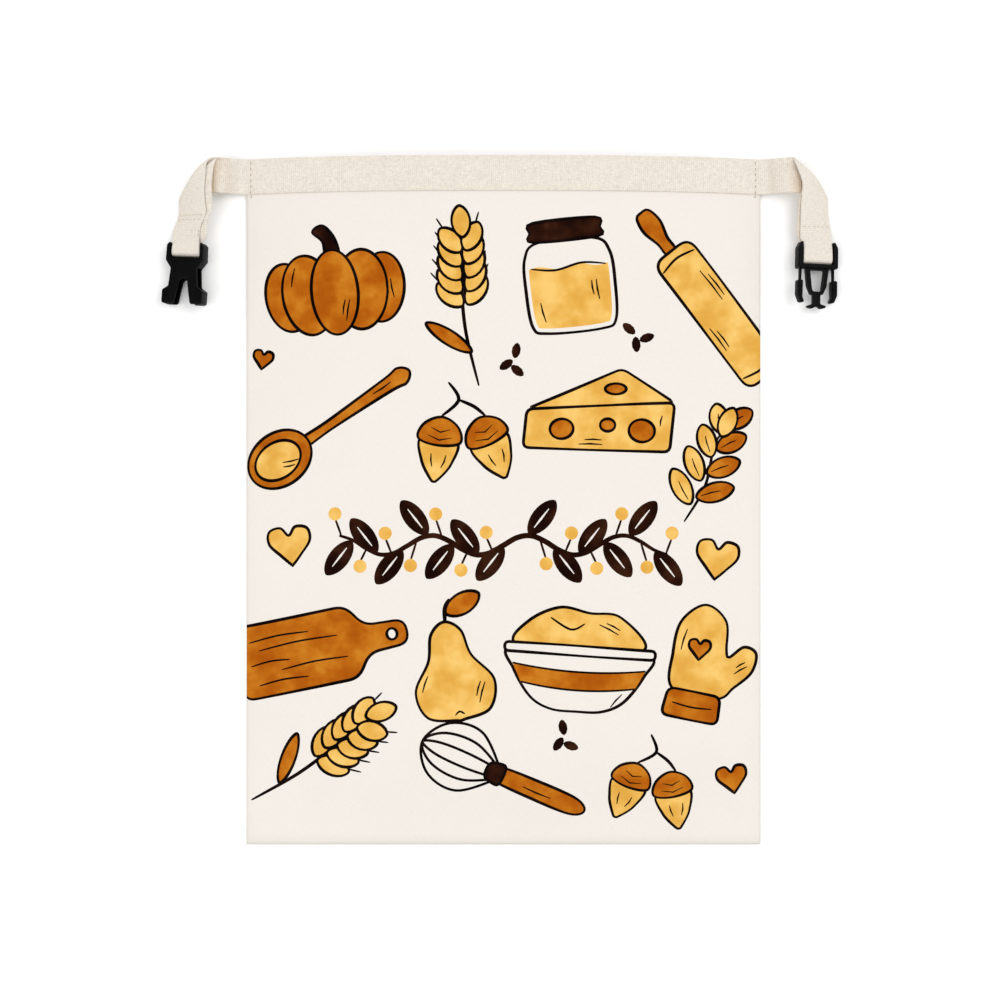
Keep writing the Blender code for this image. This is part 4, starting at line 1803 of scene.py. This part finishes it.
        lengths = steps(self.form.half_width, self.turn_line, self.fine)
        lengths += steps(self.turn_line, bend_end, self.fine * 0.45)
        lengths += steps(bend_end, bend_end + self.slant_length, self.fine)
        rows = []
        for length in lengths:
            slant = float(smooth((length - self.turn_line) / self.slant_length + 1))
            slant *= float(smooth((bend_end - length) / self.slant_length + 1))
            places = [(length - slant * w, w) for w in ws]
            rows.append([(self.turned(strap, hump, on, w), on, w) for on, w in places])
        for length in steps(bend_end + self.slant_length, self.drop_centre + bar.run, self.fine):
            rows.append([(self.turned(strap, hump, length, w), length, w) for w in ws])
        length, place = self.drop_centre + bar.run, self.place(strap, bar)
        for i in range(1, self.loop_steps):
            angle = math.pi * i / self.loop_steps
            below, above = -self.loop_radius * math.sin(angle), self.loop_radius * math.cos(angle)
            points = [self.across(bar, w, above) for w in ws]
            on = length + self.loop_radius * angle
            rows.append([(place @ Vector((strap.side * p.x, below, p.z)), on, w) for p, w in zip(points, ws)])
        length += math.pi * self.loop_radius
        end = root * (self.bend_length + self.return_margin) - self.bend_length / root - strap.peek[0][1]
        half = self.width / 2
        corner = [w * (1 + strap.tongue * float(smooth((w - 0.64 * half) / (0.3 * half)))) for w in ws]
        for run in [bar.run, *steps(bar.run, end, self.fine)]:
            slant = float(smooth((end - run) / self.slant_length + 1))
            aside = read_table(strap.peek, run)[1]
            on, back = self.drop_centre + run, length + bar.run - run
            row = []
            for w, far in zip(ws, corner):
                row.append((self.turned(strap, hump, on - slant * far, w + aside, -1), back + slant * far, w))
            rows.append(row)
        return rows

    def band_point(self, x: float, w: float) -> Vector:
        """Find a point of the tape's middle on the bag.

        Args:
            x: How far across the bag it is.
            w: How far across the tape it is.

        Returns:
            The point.
        """
        y = self.line + float(self.form.mouth_line(x) - self.form.mouth_line(self.form.half_width)) + w
        sewn = hill(abs(w), self.width / 2 - self.seam_inset, 0.0006)
        level = float(self.form.level(x, y))
        return Vector((x, y, level + self.lift - self.band_sink - self.seam_sink * sewn))

    def fold_shade(self, length: np.ndarray, w: np.ndarray) -> np.ndarray:
        """Find the painted shade on the tape, from 0 to 1: where it goes under its own fold, on the right
        strap's ply that comes back up, and in small waves across its tabs.

        Args:
            length: Lengths along the tape from the bag's middle.
            w: Places across the tape.

        Returns:
            How dark each place is.
        """
        out = np.abs(length)
        beyond = (out - self.turn_line + w) / math.sqrt(2)
        edge, reach, top = (np.where(length < 0, a, b) for a, b in zip(self.fold_shade_left, self.fold_shade_right))
        under = np.clip(1 + (out - edge + self.fold_shade_slant * w / self.width) / reach, 0, 1) ** self.fold_shade_power
        under *= self.fold_shade_depth * (1 - top * smooth(0.5 + w / self.width))
        # Painted shade of small waves across the tabs, in colour only.
        waves = sum(depth * hill(length + 0.08 * w, place, half) for place, half, depth in self.tab_wave_shades)
        # Painted shade on the right strap's ply that comes back up behind its front ply.
        back = self.back_shade * smooth((length - self.drop_centre - self.right.stations[-1].run) / 0.004)
        hanging = np.maximum(under * np.exp(-beyond / self.over_fade), back)
        return np.where(beyond < 0, np.maximum(under, waves), hanging)

    def build(self) -> tuple[Piece, float]:
        """Build the tape.

        Returns:
            The piece, and the length of tape in it.
        """
        ws, edge = self.widths(), self.form.half_width
        count = round(2 * edge / self.coarse)
        places = [edge * (2 * i / count - 1) for i in range(count + 1)]
        band = [[(self.band_point(x, w), x, w) for w in ws] for x in places]
        left = [[(p, -s, w) for p, s, w in row] for row in self.drop_rows(self.left)]
        rows = [*reversed(left), *band, *self.drop_rows(self.right)]
        middle = np.array([[tuple(p) for p, _, _ in row] for row in rows])
        lay = np.array([[(s, w) for _, s, w in row] for row in rows])
        normals = -grid_normals(middle)
        inside = np.clip(self.selvedge - (self.width / 2 - np.abs(lay[..., 1])), 0, self.selvedge)
        half = self.thickness / 2 * np.sqrt(np.maximum(1 - (inside / self.selvedge) ** 2 * 0.94, 0))
        uneven = np.array([[self.lumps(s, w) for s, w in row] for row in lay])
        middle = middle + normals * (uneven * self.unevenness)[..., None]
        top, bottom = middle + normals * half[..., None], middle - normals * half[..., None]
        faces = [tuple(reversed(f)) for f in grid_faces(*middle.shape[:2])]
        shade = self.fold_shade(lay[..., 0], lay[..., 1])
        piece = closed_shell("mouth_tape_woven", top, bottom, faces, lay, shade, self.thickness)
        return piece, float(lay[..., 0].max() - lay[..., 0].min())

    @staticmethod
    def lumps(length: float, w: float) -> float:
        """Find how far the weave's thick threads lift the tape at a place, as a share."""
        broad = noise.noise(Vector((length * 260, w * 420, 1.7)))
        return broad + 0.6 * noise.noise(Vector((length * 900, w * 300, 5.1)))


# ---------------------------------------------------------------- stitching


@dataclass(frozen=True)
class Stitching:
    """Rows of machine stitches: each a short arch of thread whose ends sink into the cloth."""

    pitch: float = 0.0031
    length: float = 0.0021
    radius: float = 0.00026
    sink: float = 0.00008
    flat: float = 0.85
    arch: float = 0.8
    sway: float = 0.07
    stretch: Pair = (0.9, 1.06)

    def one(self) -> tuple[np.ndarray, list[tuple[int, ...]]]:
        """Model one stitch along +X, as by hand.

        Returns:
            Its points and its faces.
        """
        bpy.ops.object.select_all(action="DESELECT")
        bpy.ops.mesh.primitive_uv_sphere_add(segments=8, ring_count=6, radius=self.radius)
        obj = bpy.context.object
        bpy.ops.object.mode_set(mode="EDIT")
        bpy.ops.mesh.select_all(action="SELECT")
        bpy.ops.transform.resize(value=(self.length / 2 / self.radius, 1.0, self.flat))
        bpy.ops.object.mode_set(mode="OBJECT")
        points = np.array([v.co for v in obj.data.vertices])
        points[:, 2] -= self.radius * self.arch * (points[:, 0] / (self.length / 2)) ** 2
        faces = [tuple(p.vertices) for p in obj.data.polygons]
        bpy.data.objects.remove(obj)
        return points, faces

    def sew(self, name: str, rows: Sequence[Path], seed: int) -> Piece:
        """Sew rows of stitches.

        Args:
            name: The piece's name.
            rows: For each row, points close together along it, and the surface's normals there.
            seed: What the small differences between stitches start from.

        Returns:
            One piece with all the stitches.
        """
        shape, shape_faces = self.one()
        chance = random.Random(seed)
        points, faces = [], []
        for path, normals in rows:
            lengths = np.cumsum([0.0, *[(b - a).length for a, b in zip(path, path[1:])]])
            count = max(1, int(lengths[-1] / self.pitch))
            for k in range(count):
                s = (k + 0.5) * lengths[-1] / count
                i = min(int(np.searchsorted(lengths, s)), len(path) - 1) or 1
                share = (s - lengths[i - 1]) / max(lengths[i] - lengths[i - 1], 1e-9)
                centre = path[i - 1].lerp(path[i], share)
                along = (path[i] - path[i - 1]).normalized()
                up = normals[i].normalized()
                aside = up.cross(along).normalized()
                along = (along + aside * chance.uniform(-self.sway, self.sway)).normalized()
                turn = Matrix((along, up.cross(along), up)).transposed()
                place = centre + up * (self.radius * self.flat - self.sink)
                start = len(points) * len(shape)
                scale = (chance.uniform(*self.stretch), 1.0, 1.0)
                points.append((shape * scale) @ np.array(turn).T + np.array(place))
                faces += [tuple(start + n for n in f) for f in shape_faces]
        mesh = bpy.data.meshes.new(name)
        mesh.from_pydata(np.concatenate(points).tolist(), [], faces)
        mesh.shade_smooth()
        return linked(name, mesh)


def along_surface(points: Iterable[Callable[[float, float], Vector]], offsets: Pair) -> Path:
    """Turn a row of small surface patches into a path and its normals.

    Args:
        points: For each place of the path, a function that gives the surface near it.
        offsets: The two small steps that the function takes.

    Returns:
        The path's points and the surface's normals.
    """
    du, dv = offsets
    path, normals = [], []
    for near in points:
        centre = near(0, 0)
        normal = (near(du, 0) - centre).cross(near(0, dv) - centre).normalized()
        path.append(centre)
        normals.append(normal if normal.z > 0 else -normal)
    return path, normals


class BagStitches:
    """All the sewing that shows on the bag."""

    side_seams: Pair = (-0.1471, 0.1467)
    strap_reach: float = 0.0090
    hem_inset: float = 0.0165

    def __init__(self, form: BagForm, tape: MouthTape) -> None:
        """Keep the cloth and the tape that are sewn."""
        self.form = form
        self.tape = tape

    def on_band(self, x: float, w: float) -> Vector:
        """Find a point of the band's outer side, or of the cloth beside it.

        Args:
            x: How far across the bag it is.
            w: How far across the tape it is.

        Returns:
            The point.
        """
        p = self.tape.band_point(x, w)
        if abs(w) <= self.tape.width / 2:
            return p + Vector((0, 0, self.tape.thickness / 2))
        return Vector((p.x, p.y, float(self.form.level(p.x, p.y)) + self.form.cloth / 2))

    def band_row(self, w: float) -> Path:
        """Follow the band along its length."""
        edge = self.form.half_width - 0.004
        xs = np.linspace(-edge, edge, 160)
        return along_surface([lambda a, b, x=x: self.on_band(x + a, w + b) for x in xs], (0.001, -0.0002))

    def side_row(self, x: float) -> Path:
        """Follow the seam that holds the tape at a side of the bag, across the tape and just past it."""
        half = self.tape.width / 2
        ws = np.linspace(half - 0.0007, -half - 0.0030, 60)
        return along_surface([lambda a, b, w=w: self.on_band(x + a, w + b) for w in ws], (0.001, 0.0002))

    def strap_row(self, strap: Strap, below: float = 0.0) -> Path:
        """Follow a seam across a strap that holds its two plies, at or below where they meet.

        Args:
            strap: The end of the tape.
            below: How far below the plies' seam it lies.

        Returns:
            The row.
        """
        hump = self.tape.hump_line()
        length = self.tape.drop_centre + strap.seam_run + below

        def near(w: float) -> Callable[[float, float], Vector]:
            """Give the surface near a place across the strap."""
            return lambda a, b: self.tape.turned(strap, hump, length + a, w + b)

        ws = np.linspace(-self.strap_reach, self.strap_reach, 30)
        points, normals = along_surface(map(near, ws), (0.0005, 0.0005))
        return [p + n * (self.tape.thickness / 2) for p, n in zip(points, normals)], normals

    def hem_row(self) -> Path:
        """Follow the seam of the back cloth's hem, inside the bag.

        Returns:
            The row.
        """
        edge = self.form.half_width - 0.012
        z = 2 * self.form.cloth + self.form.gap
        xs = np.linspace(-edge, edge, 120)
        path = [Vector((float(x), float(self.form.mouth_line(x)) - self.hem_inset, z)) for x in xs]
        return path, [Vector((0, 0, 1))] * len(path)

    def build(self) -> list[Piece]:
        """Sew all the rows.

        Returns:
            A piece for each kind of seam.
        """
        cream = SewingThread("cream_thread", linear(228, 219, 205)).make()
        # Painted shade on the stitches: the brown thread stands for the shade of stitches sunk deep at the
        # side seams, and the darker beige one for the shade in the strap seams' stitch holes.
        brown = SewingThread("shaded_thread", linear(176, 162, 143)).make()
        beige = SewingThread("tape_thread", linear(203, 191, 173)).make()
        half, left, right = self.tape.width / 2 - self.tape.seam_inset, self.tape.left, self.tape.right
        long, short = Stitching(length=0.0023), Stitching(length=0.0018, radius=0.0003)
        close = Stitching(pitch=0.0026, length=0.0019)
        across = [self.strap_row(left, -0.0012), self.strap_row(left, 0.0015), self.strap_row(right, -0.0006)]
        pieces = [
            long.sew("band_stitches", [self.band_row(-half), self.band_row(half)], 3),
            short.sew("side_stitches", [self.side_row(x) for x in self.side_seams], 5),
            close.sew("strap_stitches", across, 7),
            long.sew("hem_stitches", [self.hem_row()], 11),
        ]
        looks = ((cream, "tape"), (brown, "tape"), (beige, "tape"), (cream, "canvas"))
        for piece, (thread, slot) in zip(pieces, looks):
            fitted(piece, thread)
        return pieces


# ---------------------------------------------------------------- the clasp


@dataclass(frozen=True)
class Corner:
    """A corner of an outline, in metres, and its radius."""

    x: float
    y: float
    radius: float = 0.0


class Bench:
    """Blender's modelling tools, used as by hand on one piece at a time."""

    corner_segments = 5
    edge_segments = 3
    bar_sides = 24
    edge_angle = math.radians(50)
    smooth_angle = math.radians(34)
    merge = 2e-6

    @staticmethod
    def pick(obj: Piece, chosen: Callable[[bmesh.types.BMVert], bool]) -> int:
        """Select vertices in edit mode by their place.

        Args:
            obj: The piece being edited.
            chosen: Says whether a vertex is selected.

        Returns:
            How many are selected.
        """
        bpy.ops.mesh.select_all(action="DESELECT")
        bm = bmesh.from_edit_mesh(obj.data)
        found = [v for v in bm.verts if chosen(v)]
        for v in found:
            v.select_set(True)
        bm.select_flush(True)
        bmesh.update_edit_mesh(obj.data)
        return len(found)

    @staticmethod
    def take(obj: Piece) -> None:
        """Select a piece alone, and make it the active one."""
        bpy.ops.object.select_all(action="DESELECT")
        obj.select_set(True)
        bpy.context.view_layer.objects.active = obj

    @classmethod
    def apply(cls, obj: Piece, kind: str, **settings: object) -> None:
        """Add a modifier to a piece and apply it.

        Args:
            obj: The piece.
            kind: The modifier's type.
            settings: Its settings.
        """
        cls.take(obj)
        modifier = obj.modifiers.new(kind.title(), kind)
        for name, value in settings.items():
            setattr(modifier, name, value)
        bpy.ops.object.modifier_apply(modifier=modifier.name)

    @classmethod
    def plate(cls, name: str, corners: Sequence[Corner], low: float, high: float, ease: float = 0.0) -> Piece:
        """Shape a plate from a disc: pull its rim to the corners, round them, raise it and ease its edges.

        Args:
            name: The piece's name.
            corners: Its outline in order.
            low: The height of its underside.
            high: The height of its top.
            ease: How far its edges are eased.

        Returns:
            The plate.
        """
        bpy.ops.object.select_all(action="DESELECT")
        bpy.ops.mesh.primitive_circle_add(vertices=len(corners), radius=1.0, fill_type="NGON")
        obj = bpy.context.object
        obj.name = name
        bpy.ops.object.mode_set(mode="EDIT")
        bpy.ops.mesh.select_mode(type="VERT")
        starts = [v.co.copy() for v in bmesh.from_edit_mesh(obj.data).verts]
        for start, corner in zip(starts, corners):
            cls.pick(obj, lambda v, start=start: (v.co - start).length < 1e-5)
            bpy.ops.transform.translate(value=(corner.x - start.x, corner.y - start.y, low - start.z))
        for i, corner in enumerate(corners):
            if corner.radius:
                here = Vector((corner.x, corner.y, low))
                beside = (corners[i - 1], corners[(i + 1) % len(corners)])
                a, b = ((Vector((c.x, c.y, low)) - here).normalized() for c in beside)
                cut = corner.radius / math.tan(a.angle(b) / 2)
                rounding = {"offset": cut, "segments": cls.corner_segments, "clamp_overlap": True}
                if cls.pick(obj, lambda v, here=here: (v.co - here).length < 1e-6):
                    bpy.ops.mesh.bevel(affect="VERTICES", **rounding)
        bpy.ops.mesh.select_all(action="SELECT")
        bpy.ops.mesh.extrude_region_move(TRANSFORM_OT_translate={"value": (0, 0, high - low)})
        bpy.ops.mesh.select_all(action="SELECT")
        bpy.ops.mesh.remove_doubles(threshold=1e-6)
        bpy.ops.mesh.normals_make_consistent(inside=False)
        bpy.ops.object.mode_set(mode="OBJECT")
        if ease:
            limits = {"limit_method": "ANGLE", "angle_limit": cls.edge_angle, "use_clamp_overlap": True}
            cls.apply(obj, "BEVEL", width=ease, segments=cls.edge_segments, **limits)
        return obj

    @classmethod
    def bar(
        cls, name: str, radius: float, length: float, x: float = 0.0, y: float = 0.0, z: float = 0.0
    ) -> Piece:
        """Shape a round bar along X, with its middle at a place.

        Args:
            name: The piece's name.
            radius: Its radius.
            length: Its length.
            x: Its middle's X.
            y: Its middle's Y.
            z: Its middle's Z.

        Returns:
            The bar.
        """
        bpy.ops.object.select_all(action="DESELECT")
        sizes = {"vertices": cls.bar_sides, "radius": radius, "depth": length}
        bpy.ops.mesh.primitive_cylinder_add(rotation=(0, math.pi / 2, 0), **sizes)
        obj = bpy.context.object
        obj.name = name
        obj.data.transform(Matrix.Translation((x, y, z)) @ obj.matrix_basis)
        obj.matrix_basis = Matrix.Identity(4)
        return obj

    @classmethod
    def join(cls, obj: Piece, others: Iterable[Piece], operation: str) -> None:
        """Add other pieces to a piece, or cut them from it, and remove them."""
        for other in others:
            cls.apply(obj, "BOOLEAN", operation=operation, object=other, solver="EXACT")
            bpy.data.objects.remove(other)

    @classmethod
    def finish(cls, obj: Piece, place: Matrix) -> Piece:
        """Clean a piece's mesh, shade it, and put its place into its mesh.

        Args:
            obj: The piece.
            place: Where it goes.

        Returns:
            The piece.
        """
        cls.take(obj)
        bpy.ops.object.mode_set(mode="EDIT")
        bpy.ops.mesh.select_all(action="SELECT")
        bpy.ops.mesh.remove_doubles(threshold=cls.merge)
        bpy.ops.mesh.quads_convert_to_tris()
        bpy.ops.mesh.normals_make_consistent(inside=False)
        bpy.ops.object.mode_set(mode="OBJECT")
        bpy.ops.object.shade_smooth_by_angle(angle=cls.smooth_angle)
        obj.data.transform(place)
        return obj


def shape(*rows: Sequence[float]) -> list[Corner]:
    """List corners from rows of X, Y and, where it isn't 0, the radius."""
    return [Corner(*row) for row in rows]


def flipped(corners: Sequence[Corner]) -> list[Corner]:
    """Mirror an outline to the other side of X = 0."""
    return [Corner(-c.x, c.y, c.radius) for c in reversed(corners)]


def mirrored(*rows: Sequence[float]) -> list[Corner]:
    """Complete an outline from its corners at X > 0, top to bottom."""
    return shape(*rows) + flipped(shape(*rows))


@dataclass(frozen=True)
class SocketHalf:
    """The female half of the clasp: a bar between two horns, a block, and two plates joined at its cheeks."""

    slot_half: float = 0.0093
    throat: float = 0.0033
    shoulder: float = 0.0114
    horn_top: float = 0.0052
    waist: float = 0.0080
    half: float = 0.0125
    mouth: float = 0.0304
    block: float = 0.0092
    thick: float = 0.0082
    wall: float = 0.0014
    bar_radius: float = 0.0014
    bar_overlap: float = 0.0021
    ease: float = 0.0006
    inlay: float = 0.00035
    ridge_radius: float = 0.00042
    ridge_pitch: float = 0.0013

    def outline(self) -> list[Corner]:
        """List the corners of the face's outline.

        Returns:
            The corners in order.
        """
        slot, top, shoulder, waist, half = self.slot_half, self.horn_top, self.shoulder, self.waist, self.half
        horn = [(slot, -self.throat), (slot, top, 0.0003), (slot + 0.0005, top, 0.0004)]
        outer = [(shoulder - 0.0002, top - 0.0016, 0.0012), (shoulder, -0.0052, 0.0010)]
        grip = [(waist, -0.0098, 0.0010), (waist + 0.0009, -0.0202, 0.0010), (half, -0.0226, 0.0012)]
        mouth = [(half, -self.mouth, 0.0016), (0.0052, -self.mouth, 0.0014), (0.0025, -0.0160, 0.0020)]
        return mirrored(*horn, *outer, *grip, *mouth)

    def build(self, place: Matrix) -> Piece:
        """Shape the half.

        Args:
            place: Where its bar's middle is.

        Returns:
            The piece.
        """
        face, cheek = self.thick / 2, self.half - self.wall
        inner = face - self.wall
        body = Bench.plate("clasp_socket", self.outline(), -face, face, self.ease)
        hollow = mirrored((cheek, -self.block, 0.0004), (cheek, -self.mouth - 0.004))
        Bench.join(body, [Bench.plate("hollow", hollow, -inner, inner)], "DIFFERENCE")
        panel = mirrored((0.0062, -0.0052, 0.0008), (0.0052, -0.0128, 0.0012))
        cuts = [Bench.plate("face_panel", panel, face - self.inlay, face + 0.001)]
        cuts.append(Bench.plate("back_panel_cut", panel, -face - 0.001, -face + self.inlay))
        Bench.join(body, cuts, "DIFFERENCE")
        ridges = [
            Bench.bar(f"ridge_{side}_{k}", self.ridge_radius, 0.0030, side * 0.0101, y, face)
            for side in (-1, 1)
            for k, y in enumerate(-0.0246 - self.ridge_pitch * n for n in range(3))
        ]
        bar = Bench.bar("socket_bar", self.bar_radius, 2 * self.slot_half + self.bar_overlap)
        Bench.join(body, [bar, *ridges], "UNION")
        return Bench.finish(body, place)


@dataclass(frozen=True)
class ProngHalf:
    """The male half of the clasp: a frame with its bar, a middle guide, and a sprung button at each side."""

    slot_half: float = 0.0093
    throat: float = 0.0033
    half: float = 0.0122
    frame_top: float = 0.0097
    frame_thick: float = 0.0066
    guide_thick: float = 0.0040
    spring_thick: float = 0.0024
    button_thick: float = 0.0056
    bar_radius: float = 0.0014
    bar_overlap: float = 0.0029
    ease: float = 0.0006
    guide_ease: float = 0.0003
    spring_ease: float = 0.0002
    grip_radius: float = 0.00034
    grip_pitch: float = 0.0015

    def frame(self) -> list[Corner]:
        """List the corners of the two arms and the crossbar."""
        slot, top, half = self.slot_half, self.frame_top, self.half
        arm = [(slot, -self.throat), (slot, top, 0.0004), (slot + 0.0010, top - 0.0001, 0.0007)]
        return mirrored(*arm, (half - 0.0001, top - 0.0034, 0.0022), (half, -0.0058, 0.0012))

    def spring(self) -> list[Corner]:
        """List the corners of the right spring."""
        return shape((0.0093, -0.0045), (0.0106, -0.0045), (0.0108, -0.0150), (0.0097, -0.0150))

    def button(self) -> list[Corner]:
        """List the corners of the right button."""
        outer = [(0.0090, -0.0126, 0.0008), (0.0121, -0.0124, 0.0010), (0.0122, -0.0210, 0.0032)]
        return shape(*outer, (0.0102, -0.0258, 0.0014), (0.0080, -0.0252, 0.0008), (0.0092, -0.0222, 0.0010))

    def guide(self) -> list[Corner]:
        """List the corners of the guide's outline."""
        leg = [(0.0071, -0.0040), (0.0058, -0.0160, 0.0060), (0.0036, -0.0207, 0.0014), (0.0021, -0.0211)]
        tip = [(0.0021, -0.0262, 0.0008), (0.0056, -0.0272, 0.0004), (0.0052, -0.0284, 0.0004)]
        return mirrored(*leg, *tip, (0.0028, -0.0290, 0.0010), (0.0010, -0.0278))

    def build(self, place: Matrix) -> Piece:
        """Shape the half.

        Args:
            place: Where its bar's middle is.

        Returns:
            The piece.
        """
        halves = (self.frame_thick, self.guide_thick, self.spring_thick, self.button_thick)
        deep, leg, thin, thick = (thickness / 2 for thickness in halves)
        body = Bench.plate("clasp_prongs", self.frame(), -deep, deep, self.ease)
        guide = Bench.plate("guide", self.guide(), -leg, leg, self.guide_ease)
        window = mirrored((0.0046, -0.0066, 0.0008), (0.0031, -0.0190, 0.0016))
        Bench.join(guide, [Bench.plate("window", window, -0.004, 0.004)], "DIFFERENCE")
        parts = [Bench.bar("prong_bar", self.bar_radius, 2 * self.slot_half + self.bar_overlap), guide]
        for side, turned in ((1, list), (-1, flipped)):
            parts.append(Bench.plate(f"spring_{side}", turned(self.spring()), -thin, thin, self.spring_ease))
            parts.append(Bench.plate(f"button_{side}", turned(self.button()), -thick, thick, self.ease))
            for k in range(4):
                y = -0.0148 - self.grip_pitch * k
                parts.append(Bench.bar(f"grip_{side}_{k}", self.grip_radius, 0.0016, side * 0.0108, y, thick))
        Bench.join(body, parts, "UNION")
        return Bench.finish(body, place)


# ---------------------------------------------------------------- studio


@dataclass(frozen=True)
class Studio:
    """A pale floor, soft light from all round, and the camera straight above the bag."""

    pixel: float = 0.300 / 514
    distance: float = 1.0
    aim_height: float = 0.002
    axis_x: float = 503.5
    axis_y: float = 500.15
    sensor: float = 36.0
    side: int = 1000
    sky: float = 0.80
    floor_drop: float = 0.0002

    def camera(self) -> None:
        """Put the camera where the photograph was taken from."""
        data = bpy.data.cameras.new("camera")
        data.sensor_width = self.sensor
        data.lens = self.sensor * self.distance / (self.side * self.pixel)
        camera = linked("camera", data)
        middle = self.side / 2
        x, y = (middle - self.axis_x) * self.pixel, (self.axis_y - middle) * self.pixel
        camera.location = (x, y, self.aim_height + self.distance)
        bpy.context.scene.camera = camera

    def lamp(self, name: str, place: Triple, size: float, watts: float) -> None:
        """Hang a square soft light that faces the bag.

        Args:
            name: Its name.
            place: Where it hangs.
            size: The length of its sides.
            watts: Its power.
        """
        data = bpy.data.lights.new(name, "AREA")
        data.shape = "SQUARE"
        data.size = size
        data.energy = watts
        lamp = linked(name, data)
        lamp.location = place
        lamp.rotation_euler = (-Vector(place)).to_track_quat("-Z", "Y").to_euler()

    def build(self) -> None:
        """Set up the floor, the lights and the camera."""
        bpy.ops.object.select_all(action="DESELECT")
        bpy.ops.mesh.primitive_plane_add(size=8.0, location=(0, 0, 0))
        floor = bpy.context.object
        floor.name = "floor"
        floor.data.transform(Matrix.Translation((0, 0, -self.floor_drop)))
        floor.data.materials.append(Floor().make())
        world = bpy.data.worlds.new("even_light")
        world.use_nodes = True
        colour, strength = world.node_tree.nodes["Background"].inputs[:2]
        colour.default_value = (1.0, 1.0, 1.0, 1.0)
        strength.default_value = self.sky
        bpy.context.scene.world = world
        bpy.context.scene.view_settings.view_transform = "Standard"
        self.lamp("key", (1.0, 0.5, 1.7), 1.3, 13.6)
        self.lamp("fill", (-1.0, -0.5, 1.5), 1.3, 9.6)
        self.camera()


def main() -> None:
    """Build the bag, sew it and dress it."""
    logging.basicConfig(level=logging.INFO, format="%(name)s %(message)s")
    form = BagForm()
    canvas = WovenCotton("canvas_cotton", linear(227, 221, 214), 0.00042, 0.00042, 0.09, 0.00009)
    printed = replace(canvas, name="printed_cotton", printed=True)
    # shade is the colour of the painted shade on the tape, under its folds.
    beige, shade = linear(220, 212, 201), (0.80, 0.68, 0.54)
    webbing = WovenCotton("tape_cotton", beige, 0.00117, 0.00062, 0.42, 0.00024, shade_tint=shade, rib=0.7)
    plastic = MouldedPlastic("black_plastic", linear(3, 3, 3)).make()
    Studio().build()

    back = fitted(BackCloth(form).build(), canvas.make(), ["back_panel"])
    front = fitted(FrontCloth(form).build(), printed.make(), ["front_panel"])
    tape = MouthTape(form)
    band, tape_length = tape.build()
    fitted(band, webbing.make(), ["mouth_tape"])
    stitches = BagStitches(form, tape).build()

    socket = SocketHalf().build(tape.place(tape.left, tape.left.stations[-1]))
    prongs = ProngHalf().build(tape.place(tape.right, tape.right.stations[-1]))
    fitted(socket, plastic, ["socket_half"])
    fitted(prongs, plastic, ["prong_half"])

    log.info("tape length %.1f mm", tape_length / MM)


if __name__ == "__main__":
    main()
